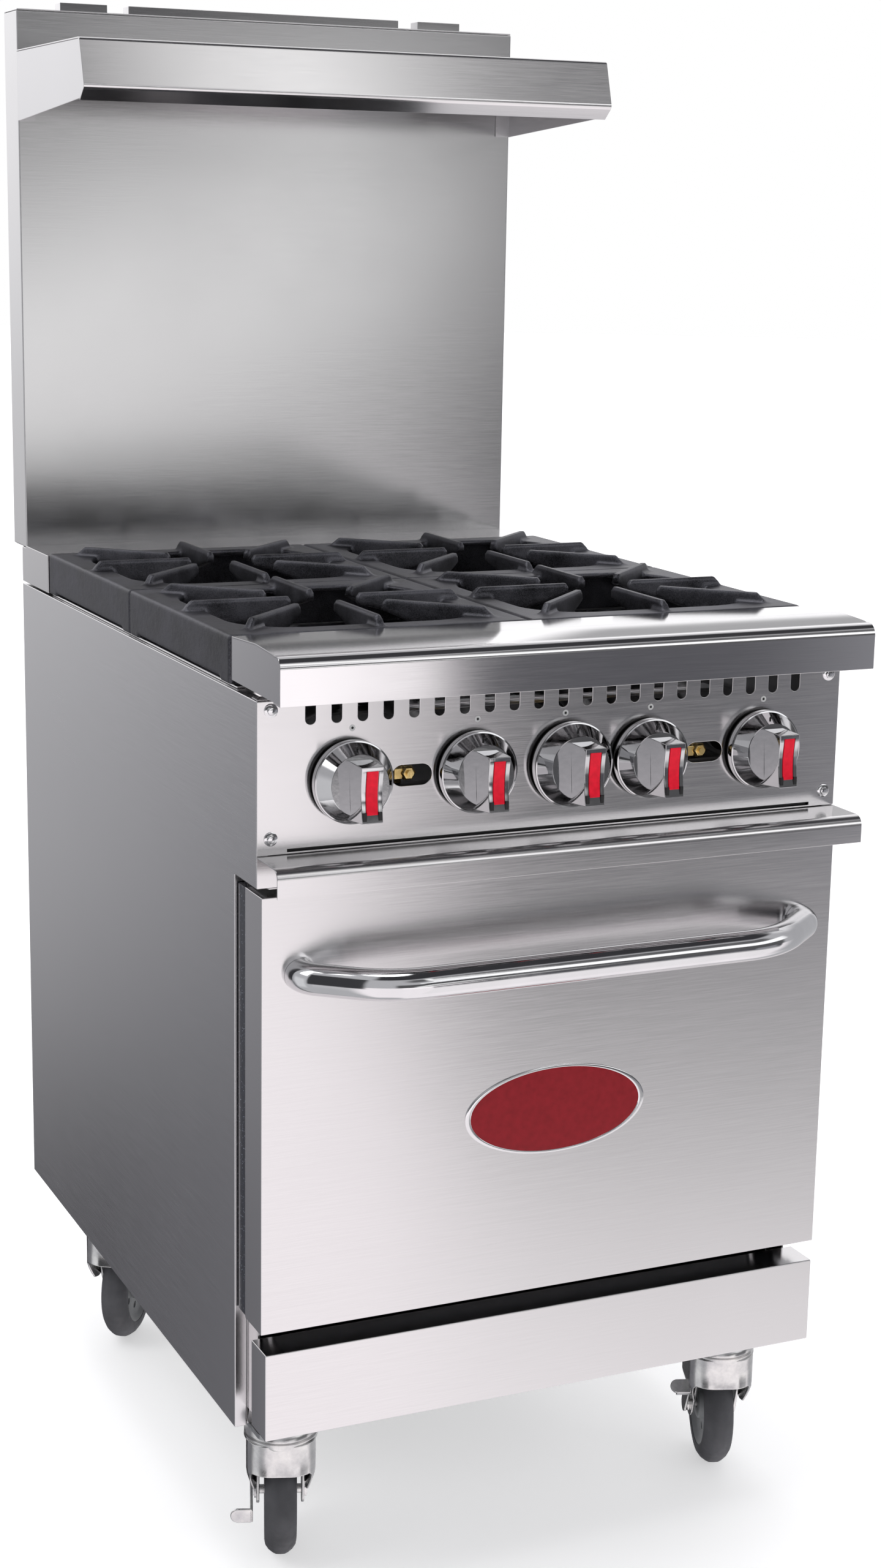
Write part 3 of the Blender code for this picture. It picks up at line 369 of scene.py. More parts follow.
class Finish:
    """A procedural material under construction."""

    def __init__(self, name, colour, roughness, metallic=0, **fixed):
        self.material = bpy.data.materials.new(name)
        self.material.use_nodes = True
        self.tree = self.material.node_tree
        self.shader = self.tree.nodes["Principled BSDF"]
        self.set("Base Color", colour)
        self.set("Roughness", roughness)
        self.set("Metallic", metallic)
        for socket, value in fixed.items():
            self.set(socket.replace("_", " "), value)
        self.place = self.tree.nodes.new("ShaderNodeTexCoord").outputs["Object"]
        self.math = partial(math_node, self.tree)
        self.blend = partial(mixed, self.tree)

    def set(self, socket, value):
        feed(self.tree, self.shader.inputs[socket], value)

    def uneven(self, *parts):
        """Roughness as the sum of two results."""
        self.set("Roughness", self.math("ADD", *parts))

    def noise(self, scale, detail=4, roughness=0.5, offset=(0, 0, 0)):
        """Noise with so many features a metre along each axis, from 0 to 1."""
        mapping = self.tree.nodes.new("ShaderNodeMapping")
        mapping.inputs["Scale"].default_value = scale if isinstance(scale, tuple) else (scale,) * 3
        mapping.inputs["Location"].default_value = offset
        texture = self.tree.nodes.new("ShaderNodeTexNoise")
        texture.inputs["Scale"].default_value = 1.0
        texture.inputs["Detail"].default_value = detail
        texture.inputs["Roughness"].default_value = roughness
        self.tree.links.new(self.place, mapping.inputs["Vector"])
        self.tree.links.new(mapping.outputs["Vector"], texture.inputs["Vector"])
        return texture.outputs["Fac"]

    def cells(self, scale):
        texture = self.tree.nodes.new("ShaderNodeTexVoronoi")
        texture.inputs["Scale"].default_value = scale
        self.tree.links.new(self.place, texture.inputs["Vector"])
        return texture

    def spread(self, value, low, high, start=0.3, end=0.7):
        """A value between start and end, stretched to run from low to high."""
        stretch = self.tree.nodes.new("ShaderNodeMapRange")
        self.tree.links.new(value, stretch.inputs["Value"])
        for socket, number in zip(("From Min", "From Max", "To Min", "To Max"), (start, end, low, high)):
            stretch.inputs[socket].default_value = number
        return stretch.outputs["Result"]

    def tones(self, mask, dark, light, start=0.3, end=0.7):
        """The base colour runs from dark to light as the mask runs from start to end."""
        self.set("Base Color", self.blend(self.spread(mask, 0, 1, start, end), dark, light))

    def bump(self, height, strength, distance=0.001):
        node = self.tree.nodes.new("ShaderNodeBump")
        node.inputs["Strength"].default_value = strength
        node.inputs["Distance"].default_value = distance
        self.tree.links.new(height, node.inputs["Height"])
        if self.shader.inputs["Normal"].is_linked:
            below = self.shader.inputs["Normal"].links[0].from_socket
            self.tree.links.new(below, node.inputs["Normal"])
        self.set("Normal", node.outputs["Normal"])

    def tangent(self, direction):
        """The direction that highlights are drawn out along."""
        node = self.tree.nodes.new("ShaderNodeCombineXYZ")
        for socket, value in zip(node.inputs, direction):
            socket.default_value = value
        self.set("Tangent", node.outputs["Vector"])


ACROSS_GRAIN = {"x": (0.03, 0.9, 1), "y": (0.9, 0.03, 1)}


def brushed_steel(name, grain, colour=(0.68, 0.67, 0.675), rough=(0.15, 0.19), stretch=0.7):
    """Sheet with fine straight grain along one axis, faint handling marks and soft stains."""
    finish = Finish(name, colour, rough[0], 1, Anisotropic=stretch)
    fine = tuple(26.0 if axis == grain else 1700.0 for axis in "xyz")
    coarse = tuple(7.0 if axis == grain else 420.0 for axis in "xyz")
    hair = finish.math("MULTIPLY", finish.noise(fine, 3, 0.6), 0.8)
    streak = finish.math("MULTIPLY", finish.noise(coarse, 3, 0.55, (3.1, 1.7, 4.2)), 0.2)
    stain = finish.noise(3.5, 3, 0.5, (7, 2, 5))
    lines = finish.math("ADD", hair, streak)
    finish.tones(lines, scaled(colour, 0.965), scaled(colour, 1.03), 0.36, 0.64)
    base = finish.spread(lines, rough[0], rough[1], 0.36, 0.64)
    finish.uneven(base, finish.spread(stain, -0.012, 0.02))
    finish.bump(lines, 0.02, 0.0003)
    finish.tangent(ACROSS_GRAIN[grain])
    return finish.material


def polished_steel(name):
    finish = Finish(name, (0.70, 0.69, 0.70), 0.1, 1, Anisotropic=0.5)
    grain = finish.noise((24, 1500, 1500), 3, 0.6)
    stain = finish.noise(5, 3, 0.5, (1, 4, 9))
    finish.tones(grain, (0.68, 0.675, 0.68), (0.72, 0.71, 0.715))
    smear = finish.spread(grain, 0.08, 0.11)
    finish.uneven(smear, finish.spread(stain, -0.01, 0.02))
    finish.bump(grain, 0.015, 0.0003)
    finish.tangent((0.03, 0.9, 1))
    return finish.material


def galvanised(name):
    """Dull zinc with a spangle of crystals."""
    finish = Finish(name, (0.5, 0.5, 0.51), 0.45, 0.9)
    spangle = finish.cells(90)
    tone = finish.spread(spangle.outputs["Color"], 0, 1, 0, 1)
    finish.set("Base Color", finish.blend(tone, (0.40, 0.41, 0.42), (0.56, 0.565, 0.575)))
    cloud = finish.noise(14, 4)
    dullness = finish.spread(tone, 0.34, 0.46, 0, 1)
    finish.uneven(dullness, finish.spread(cloud, -0.03, 0.05))
    finish.bump(cloud, 0.1, 0.0008)
    return finish.material


def oven_enamel(name):
    """Dark porcelain enamel with small pale specks."""
    finish = Finish(name, (0.012, 0.014, 0.022), 0.16)
    specks = finish.cells(520)
    mask = finish.spread(specks.outputs["Distance"], 1, 0, 0.16, 0.24)
    picked = finish.math("GREATER_THAN", finish.noise(330, 1, 0.5, (2, 5, 1)), 0.56)
    speckled = finish.math("MULTIPLY", mask, picked)
    finish.set("Base Color", finish.blend(speckled, (0.012, 0.014, 0.022), (0.35, 0.38, 0.46)))
    ripple = finish.noise(60, 3)
    finish.set("Roughness", finish.spread(ripple, 0.10, 0.22))
    finish.bump(ripple, 0.12, 0.0015)
    return finish.material


def cast_iron(name, tone=(0.105, 0.105, 0.118)):
    """Black sand-cast iron: a grainy skin with low lumps, its colour mottled lighter and darker at random."""
    finish = Finish(name, tone, 0.42, 1)
    grit = finish.noise(900, 3, 0.65)
    lumps = finish.noise(120, 4, 0.6, (5, 3, 1))
    mottle = finish.noise(24, 3, 0.5, (2, 8, 6))
    shade = finish.math("ADD", finish.math("MULTIPLY", grit, 0.5), finish.math("MULTIPLY", mottle, 0.5))
    finish.tones(shade, scaled(tone, 0.35), scaled(tone, 1.5), 0.36, 0.62)
    coarseness = finish.spread(grit, 0.34, 0.52)
    finish.uneven(coarseness, finish.spread(mottle, -0.05, 0.07))
    finish.bump(lumps, 0.28, 0.0012)
    finish.bump(grit, 0.35, 0.0004)
    return finish.material


def chrome(name, colour=(0.66, 0.66, 0.67), rough=(0.035, 0.09)):
    """Bright plate with a faint orange-peel and thin wipe marks."""
    finish = Finish(name, colour, rough[0], 1)
    haze = finish.noise(30, 4, 0.6)
    wipes = finish.noise((60, 700, 700), 2, 0.5, (3, 3, 8))
    finish.uneven(finish.spread(haze, *rough), finish.spread(wipes, 0, 0.03))
    finish.tones(haze, scaled(colour, 0.93), colour)
    finish.bump(finish.noise(140, 2), 0.03, 0.0006)
    return finish.material


def brass(name):
    finish = Finish(name, (0.72, 0.53, 0.22), 0.25, 1)
    tarnish = finish.noise(70, 4, 0.6)
    finish.tones(tarnish, (0.50, 0.34, 0.13), (0.80, 0.62, 0.28))
    finish.set("Roughness", finish.spread(tarnish, 0.34, 0.18))
    finish.bump(finish.noise((1200, 1200, 90), 2), 0.06, 0.0004)
    return finish.material


def black_pipe(name):
    finish = Finish(name, (0.03, 0.03, 0.033), 0.5, 0.6)
    scale = finish.noise(90, 5, 0.65)
    finish.tones(scale, (0.018, 0.018, 0.02), (0.07, 0.065, 0.062))
    finish.set("Roughness", finish.spread(scale, 0.38, 0.6))
    finish.bump(scale, 0.2, 0.001)
    return finish.material


def mineral_wool(name):
    finish = Finish(name, (0.72, 0.62, 0.36), 0.95)
    fibre = finish.noise((120, 900, 300), 5, 0.7)
    finish.tones(fibre, (0.52, 0.42, 0.2), (0.82, 0.74, 0.5))
    finish.bump(fibre, 0.6, 0.002)
    return finish.material


def zinc_plate(name):
    """Bright zinc with a slightly warm, uneven passivation."""
    finish = Finish(name, (0.62, 0.62, 0.62), 0.25, 1)
    cloud = finish.noise(45, 4, 0.6)
    finish.tones(cloud, (0.50, 0.50, 0.51), (0.72, 0.715, 0.70))
    finish.set("Roughness", finish.spread(cloud, 0.30, 0.16))
    finish.bump(finish.noise(420, 3), 0.08, 0.0005)
    return finish.material


def tyre_rubber(name, colour=(0.045, 0.045, 0.05), rough=(0.5, 0.72)):
    finish = Finish(name, colour, 0.6)
    scuff = finish.noise(110, 5, 0.65)
    dust = finish.noise(18, 3, 0.6, (4, 4, 4))
    finish.tones(dust, colour, scaled(colour, 1.9))
    finish.set("Roughness", finish.spread(scuff, *rough))
    finish.bump(scuff, 0.15, 0.0008)
    return finish.material


def red_plastic(name, colour=(0.70, 0.003, 0.022)):
    """Glossy moulded red with a fine texture."""
    finish = Finish(name, colour, 0.28, 0, Specular_IOR_Level=0.22)
    mottle = finish.noise(160, 3)
    light = (min(1, colour[0] * 1.25), colour[1] * 1.6, colour[2] * 1.4)
    finish.tones(mottle, colour, light)
    finish.set("Roughness", finish.spread(mottle, 0.3, 0.42))
    finish.bump(mottle, 0.03, 0.0004)
    return finish.material


def paint(name, colour, rough=0.4):
    finish = Finish(name, colour, rough)
    mottle = finish.noise(300, 3)
    finish.tones(mottle, scaled(colour, 0.85), colour)
    finish.set("Roughness", finish.spread(mottle, rough - 0.06, rough + 0.06))
    return finish.material


STEEL_X = brushed_steel("steel_grain_x", "x")
STEEL_Y = brushed_steel("steel_grain_y", "y", (0.64, 0.635, 0.645), (0.20, 0.26))
STEEL_RISER = brushed_steel("steel_riser", "x", (0.66, 0.655, 0.66), (0.14, 0.17), 0.5)
POLISHED = polished_steel("steel_polished")
GALVANISED = galvanised("zinc_sheet")
ENAMEL = oven_enamel("porcelain_enamel")
IRON = cast_iron("cast_iron_black")
BURNER_IRON = cast_iron("cast_iron_burner", (0.09, 0.088, 0.09))
CHROME = chrome("chrome_plate")
KNOB_CHROME = chrome("chrome_knob", (0.55, 0.55, 0.56), (0.03, 0.07))
WIRE = chrome("chrome_wire", (0.62, 0.62, 0.63), (0.10, 0.18))
BRASS = brass("brass_machined")
PIPE = black_pipe("iron_pipe")
WOOL = mineral_wool("mineral_wool")
ZINC = zinc_plate("zinc_plate")
TYRE = tyre_rubber("tyre_rubber")
HUB = tyre_rubber("hub_plastic", (0.16, 0.165, 0.17), (0.4, 0.55))
RED = red_plastic("red_insert")
BADGE_RED = red_plastic("red_badge", (0.24, 0.004, 0.010))
ALUMINIUM = chrome("aluminium_tube", (0.88, 0.88, 0.9), (0.28, 0.36))
WHITE = paint("white_print", (0.8, 0.8, 0.8))
# Black paint serves the printed index marks and also the painted shade behind the tray gap, behind the knobs, in
# their notches and inside the index rings.
BLACK_PRINT_AND_SHADE = paint("black_print_and_shade", (0.006, 0.006, 0.007), 0.42)


# ---- sheet-metal body


KNOBS = [f"burner_knob_{k}" for k in (1, 2, 3, 4)] + ["thermostat_knob"]
KNOB_Z = 816.5
PILOT_X = 154


def soft_copy(node, finish, width, segments=2):
    """A CAD node's own shape with rounded edges."""
    made = smooth(rounded(copied(node), width, segments), 40)
    stand_in(made, f"{node}_sheet", finish, node)


def hex_screw(centre, radius=4.2, head=2.6):
    """A washer-faced hexagon head that stands on a surface and points to the front."""
    washer = [(0, 0), (radius * 1.55, 0), (radius * 1.55, 0.7), (radius * 1.3, 1.1), (0, 1.1)]
    crown = [(0, 0.6), (radius, 0.6), (radius, head - 0.5), (radius - 0.6, head), (0, head)]
    hexagon = rounded(turned(crown, "y", (0, 0, 0), 6), 0.25, 2)
    both = merged(turned(washer, "y", (0, 0, 0), 28), hexagon)
    moved(both, Matrix.Translation(centre) @ Matrix.Rotation(math.pi, 4, "Z"))
    return smooth(both, 30)


def control_panel():
    """The control panel with its air slots, stem holes, pilot windows, tray gap and screws."""
    low, high = limits("control_panel")
    front = low.y
    fold = 14.0
    line = [(front + fold, high.z - SHEET), (front + SHEET, high.z - SHEET), (front + SHEET, low.z)]
    outline = bent_sheet(filleted(line, 2)[::-1])
    panel = prism([outline], "x", low.x, high.x)
    through = (front - 5, front + 5)
    slots = [obround((25.4 * (k - 10), 881), 22, 10, True) for k in range(21)]
    cut(panel, prism(slots, "y", *through))
    knobs = [limits(name) for name in KNOBS]
    middles = [((a.x + b.x) / 2, KNOB_Z) for a, b in knobs]
    cut(panel, prism([arc(middle, 7, 0, 345, 23) for middle in middles], "y", *through))
    windows = [obround((x, KNOB_Z), 40, 20, False, 14) for x in (-PILOT_X, PILOT_X)]
    cut(panel, prism(windows, "y", *through))
    cut(panel, box((-276, 276), through, (754.2, 757)))
    # Painted shade: a black sheet just behind the tray gap stands for the shade inside the gap.
    gap_shade_sheet = box((-275, 275), (front + 3.4, front + 4.6), (753.4, 761))
    piece(rounded(gap_shade_sheet, 0.4, 2), "control_panel_gap_shade", BLACK_PRINT_AND_SHADE)
    rounded(panel, 0.45, 2)
    stand_in(smooth(panel, 40), "control_panel_sheet", STEEL_X, "control_panel")
    screws = []
    for x in (low.x + 13, high.x - 13):
        for z in (767.5, 885):
            screws.append(hex_screw((x, front, z)))
    piece(merged(*screws), "control_panel_screws", CHROME)


def knob(node):
    """A chromed skirt with a wedge-shaped grip, a red strip let into its front and an index mark."""
    low, high = limits(node)
    radius = (high.x - low.x) / 2
    x = (high.x + low.x) / 2
    front, back = low.y, high.y
    rim = back - 9.5
    face = back - 24
    face_radius = radius * 0.72
    seam = back - 3.2
    profile = [(0, seam), (radius - 0.8, seam), (radius, seam - 0.8), (radius, rim + 0.4)]
    profile += [(radius - 0.4, rim - 0.4), (radius - 1.6, rim - 0.8)]
    profile += [(face_radius + 0.6, face + 0.6), (face_radius, face), (0, face)]
    skirt = turned(profile, "y", (x, 0, KNOB_Z), 96)
    lean = 0.058
    for vertex in skirt.data.vertices:
        if vertex.co.y / METRE < face + 1:
            vertex.co.y += (vertex.co.z - KNOB_Z * METRE) * lean
    bottom = KNOB_Z - radius * 0.73
    top = KNOB_Z + radius * 0.6
    steps = 14
    front_line = []
    for k in range(steps + 1):
        t = k / steps
        dip = 2.6 * math.sin(math.pi * min(1, t * 1.1))
        front_line.append((front + dip + 1.2 * t, bottom + (top - 0.5 - bottom) * t))
    grip = prism([[(face + 6, top), (face + 6, bottom - 3.5)] + front_line], "x", x - 10, x + 10)
    for vertex in grip.data.vertices:
        height = (vertex.co.z / METRE - bottom) / (top - bottom)
        vertex.co.x = (x + (vertex.co.x / METRE - x) * (1.0 + 0.08 * height)) * METRE
    rounded(grip, 0.6, 3)
    inlay = [(y, z) for y, z in front_line if bottom + 4.5 <= z <= top - 4]
    outline = [(y - 4, z) for y, z in inlay] + [(y + 1.5, z) for y, z in inlay[::-1]]
    cut(grip, prism([outline], "x", x - 6.3, x + 6.3))
    outline = [(y - 0.5, z) for y, z in inlay] + [(y + 2.2, z) for y, z in inlay[::-1]]
    strip = rounded(prism([outline], "x", x - 5.6, x + 5.6), 0.6, 2)
    creases = []
    for sign in (-1, 1):
        edge = x + sign * 10.2
        ridge = [(edge, face + 2), (edge + sign * 0.7, face + 2), (edge, face - 1.4)]
        creases.append(prism([ridge], "z", KNOB_Z - 24, top - 1))
    body = BODY_OF[node]
    # Painted shade: the thin black collar behind the skirt stands for the shade in the gap between the knob and
    # the panel.
    ring = [(radius - 5, back), (radius - 1.6, back), (radius - 1, back - 0.6), (radius - 1, seam - 0.4)]
    shade_collar = turned(ring + [(radius - 5, seam - 0.4)], "y", (x, 0, KNOB_Z), 96)
    piece(smooth(shade_collar, 30), f"{node}_collar", BLACK_PRINT_AND_SHADE, body)
    stand_in(smooth(merged(skirt, grip, *creases), 30), f"{node}_cast", KNOB_CHROME, node)
    piece(smooth(strip, 35), f"{node}_red_strip", RED, body)
    # Painted shade: two black patches low on the grip's front, beside the red strip, stand for the shade inside
    # the grip's notches; the tilted mark is the knob's own index mark.
    marks = []
    for sign in (-1, 1):
        notch_shade = box((x + sign * 5.7, x + sign * 9.3), (front - 0.15, front + 3), (bottom + 2.2, bottom + 10))
        marks.append(rounded(notch_shade, 0.3, 1))
    mark = box((x - 0.9, x + 0.9), (-0.5, 0.5), (-3.6, 3.6))
    tilt = math.atan2(face - rim, radius * 0.26)
    middle = (0, (rim + face) / 2 + 0.2, KNOB_Z + radius * 0.86)
    moved(mark, Matrix.Translation(middle) @ Matrix.Rotation(-tilt, 4, "X"))
    piece(merged(mark, *marks), f"{node}_index", BLACK_PRINT_AND_SHADE, body)


def index_marks():
    """The small printed ring above each knob, with a black dot of painted shade in its middle."""
    front = limits("control_panel")[0].y
    rings = []
    ring_shades = []
    for node in KNOBS:
        low, high = limits(node)
        x = (low.x + high.x) / 2 + (2.5 if node.startswith("burner") else -4.5)
        middle = (x, 0, 864.5)
        outline = [(1.3, front - 0.3), (2.9, front - 0.3), (3.1, front + 0.2), (1.3, front + 0.2)]
        rings.append(turned(outline, "y", middle, 28))
        # Painted shade: the black dot stands for the shading inside the raised ring.
        ring_shades.append(cylinder(1.2, front - 0.2, front + 0.2, "y", middle, 16))
    piece(smooth(merged(*rings)), "index_rings", WHITE)
    piece(smooth(merged(*ring_shades)), "index_ring_shades", BLACK_PRINT_AND_SHADE)


def front_rail():
    """The landing ledge: one bent sheet with its two ends closed."""
    low, high = limits("front_rail")
    front = low.y
    line = [(-306, 902.5), (-306, 941), (-367, 944), (-409, 941.6)]
    line += arc((-417.5, 931.2), 10, 70, 178, 9)
    line += [(front + 0.1, 912), (front, 900.4), (-412, 900.7)]
    rail = prism([bent_sheet(line[::-1])[::-1]], "x", low.x, high.x)
    caps = [prism([line], "x", x + 0.05, x + SHEET - 0.05) for x in (low.x, high.x - SHEET)]
    rounded(rail, 0.4, 2, 40)
    made = smooth(merged(rail, *caps), 30)
    stand_in(made, "front_rail_sheet", POLISHED, "front_rail")


def crumb_tray():
    """The tray with its rounded landing ledge; the ledge's ends are open."""
    low, high = limits("crumb_tray")
    top = high.z
    lip = low.y
    bend = 10.0
    face = limits("control_panel")[0].y
    line = [(face + SHEET, top - SHEET), (lip + bend, top - SHEET)]
    line += arc((lip + bend, top - bend), bend - SHEET, 90, 180, 10)[1:]
    line += [(lip + SHEET, 725.5)]
    ledge = prism([bent_sheet(line[::-1])[::-1]], "x", low.x, high.x)
    fascia = box((low.x, high.x), (face, face + SHEET), (722.2, top - 0.4))
    half, end, base = 260, 395, 724
    pan = box((-half, half), (face + 0.4, end), (base, 748))
    cut(pan, box((-half + SHEET, half - SHEET), (face + SHEET, end - SHEET), (base + SHEET, 760)))
    parts = [rounded(ledge, 0.4, 2, 40), rounded(fascia, 0.4, 2), rounded(pan, 0.6, 2)]
    made = smooth(merged(*parts), 30)
    stand_in(made, "crumb_tray_sheet", STEEL_X, "crumb_tray")


BADGE_HALF_WIDTH = 96.7
BADGE_HALF_HEIGHT = 44.2
BADGE_Z = 476


def door():
    """The door's sheets, the bent-tube handle and the badge."""
    soft_copy("door_outer_panel", STEEL_X, 1.2, 3)
    soft_copy("door_inner_panel", ENAMEL, 1.2, 3)
    soft_copy("door_insulation", WOOL, 2)
    low, high = limits("door_handle")
    radius = (high.z - low.z) / 2
    bar_y = low.y + radius
    z = (low.z + high.z) / 2
    half = [(266, high.y, z), (266, high.y - 13, z), (203, bar_y, z)]
    corners = [(-x, y, z) for x, y, z in half] + half[::-1]
    bar = tube(rounded_route(corners, 36, 14), radius, 40, Vector((0, 1, 0)))
    stand_in(smooth(bar, 50), "door_handle_tube", CHROME, "door_handle")
    badge((0, limits("door_outer_panel")[0].y, BADGE_Z))


def oval(centre, scale, rise, steps=72):
    """A ring of points around the badge's middle, shrunk and raised off the door."""
    x, y, z = centre
    points = []
    for k in range(steps):
        angle = 2 * math.pi * k / steps
        across = BADGE_HALF_WIDTH * math.cos(angle) * scale
        upwards = BADGE_HALF_HEIGHT * math.sin(angle) * scale
        points.append((x + across, y - rise, z + upwards))
    return points


def badge(centre):
    """A plain oval badge: a domed red field inside a bright rim."""
    rim = [(1, 0), (1, 0.9), (0.985, 1.4), (0.955, 1.5), (0.945, 1.2), (0.94, 0.8)]
    made = lofted([oval(centre, scale, rise) for scale, rise in rim])
    piece(smooth(made, 40), "badge_rim", CHROME, "oven_door")
    dome = []
    for k in range(9):
        angle = math.pi / 2 * k / 9
        dome.append(oval(centre, 0.942 * math.cos(angle), 0.85 + 0.5 * math.sin(angle)))
    piece(smooth(lofted(dome), 60), "badge_field", BADGE_RED, "oven_door")


def body_sheets():
    """The plain sheets keep their CAD shapes, with their edges eased."""
    for side in ("left", "right"):
        soft_copy(f"side_panel_{side}", STEEL_Y, 0.9, 3)
        soft_copy(f"shelf_bracket_{side}", STEEL_Y, 0.4)
    soft_copy("kick_plate", STEEL_X, 1.1, 3)
    soft_copy("front_frame", STEEL_X, 0.4)
    soft_copy("rear_strip", STEEL_X, 0.8)
    soft_copy("flue_riser", STEEL_RISER, 1.3, 3)
    soft_copy("flue_cap", POLISHED, 0.5)
    hidden = {"back_panel": 0.4, "flue_collector": 0.8, "base_frame": 0.5, "tray_support": 0.4}
    for node, width in {**hidden, "burner_support": 0.5}.items():
        soft_copy(node, GALVANISED, width)
    soft_copy("cooktop_frame", POLISHED, 0.5)
    soft_copy("oven_cavity", ENAMEL, 0.6)
    soft_copy("oven_deck", ENAMEL, 0.5)


def shelf():
    """The high shelf: one sheet with a turned-down front."""
    low, high = limits("high_shelf")
    back = high.y
    line = [(back, high.z), (157.5, high.z), (low.y, 1441), (158, 1428)]
    outline = bent_sheet(filleted(line, 4))
    sheet = rounded(prism([outline], "x", low.x, high.x), 0.4, 2, 40)
    stand_in(smooth(sheet, 30), "high_shelf_sheet", STEEL_X, "high_shelf")


# ---- cooktop


def grate_shape():
    """One cast grate about its own middle: a drafted rim and eight tapered fins, softened like a casting."""
    low, high = limits("grate_front_left")
    half_x = (high.x - low.x) / 2
    half_y = (high.y - low.y) / 2
    foot = low.z
    top = 942.0
    fin_top = high.z
    rim = 27.0
    wall = 6.0
    edge = box((-half_x, half_x), (-half_y, half_y), (foot, top))
    inside = ((wall - half_x, half_x - wall), (wall - half_y, half_y - wall), (foot - 10, top - 6))
    cut(edge, box(*inside))
    opening = rounded_rectangle((0, 0), half_x - rim, half_y - rim, 62, 12)
    cut(edge, prism([opening], "z", top - 20, top + 10))
    notch_z = (foot - 5, foot + 3)
    corner = 26
    cut(edge, box((-half_x - 5, half_x + 5), (corner - half_y, half_y - corner), notch_z))
    cut(edge, box((corner - half_x, half_x - corner), (-half_y - 5, half_y + 5), notch_z))
    parts = [edge]
    cardinal = [(35, 941), (92, 926), (147, 908), (147, 941), (138, fin_top), (38, fin_top), (35, 948)]
    diagonal = [(63, 941), (110, 926), (196, 908), (196, 939), (178, 943.5), (168, fin_top)]
    diagonal += [(66, fin_top), (63, 948)]
    for k in range(8):
        fin = prism([diagonal if k % 2 else cardinal], "y", -5.2, 5.2)
        for vertex in fin.data.vertices:
            drop = (fin_top - vertex.co.z / METRE) / 44
            vertex.co.y *= 0.70 + 0.42 * drop
        moved(fin, Matrix.Rotation(math.radians(45 * k), 4, "Z"))
        parts.append(fin)
    cast = merged(*parts)
    remesh = cast.modifiers.new("cast", "REMESH")
    remesh.mode = "VOXEL"
    remesh.voxel_size = 1.9 * METRE
    soften = cast.modifiers.new("soften", "SMOOTH")
    soften.factor = 0.5
    soften.iterations = 3
    baked(cast)
    thin = cast.modifiers.new("thin", "DECIMATE")
    thin.ratio = 0.45
    return baked(cast)


def grates():
    """The same casting at the four places."""
    pattern = grate_shape()
    for place in ("front_left", "rear_left", "rear_right", "front_right"):
        node = f"grate_{place}"
        low, high = limits(node)
        copy = linked(pattern.data.copy(), "grate")
        moved(copy, Matrix.Translation(((low.x + high.x) / 2, (low.y + high.y) / 2, 0)))
        stand_in(smooth(copy, 45), f"{node}_casting", IRON, node)
    bpy.data.objects.remove(pattern)


def burners():
    """Round cast heads with a ring of ports, each on a pipe that starts at its valve's orifice."""
    places = {"front_left": -216, "rear_left": -91, "rear_right": 91, "front_right": 216}
    for place, mouth_x in places.items():
        node = f"burner_{place}"
        grate_low, grate_high = limits(f"grate_{place}")
        x = (grate_low.x + grate_high.x) / 2
        y = (grate_low.y + grate_high.y) / 2
        top = limits(node)[1].z
        profile = [(0, 838), (17, 838), (17, 862), (19, 866), (41, 871.5), (47, 875), (48, 877)]
        profile += [(48, 883.5), (46.5, 888), (43, top - 0.8), (38, top), (34, top - 0.6)]
        profile += [(24, top - 4.5), (22, top - 5), (0, top - 5)]
        head = turned(profile, "z", (x, y, 0), 72)
        ports = []
        for k in range(24):
            angle = 2 * math.pi * k / 24
            spot = (x + 41 * math.cos(angle), y + 41 * math.sin(angle))
            ports.append(arc(spot, 1.7, 0, 300, 5))
        cut(head, prism(ports, "z", top - 4, top + 3))
        corners = [(mouth_x, -298, KNOB_Z), (mouth_x, -274, KNOB_Z), (mouth_x, -214, 848), (x, y, 848)]
        pipe = tube(rounded_route(corners, 20, 8), 12.5, 28)
        bell_profile = [(9, -302), (16, -302), (16, -296), (12.7, -280), (9, -280)]
        bell = turned(bell_profile, "y", (mouth_x, 0, KNOB_Z), 32)
        made = smooth(merged(head, pipe, bell), 35)
        stand_in(made, f"{node}_casting", BURNER_IRON, node)


def brass_copy(node, width, angle):
    made = smooth(rounded(copied(node), width), angle)
    stand_in(made, f"{node}_brass", BRASS, node)


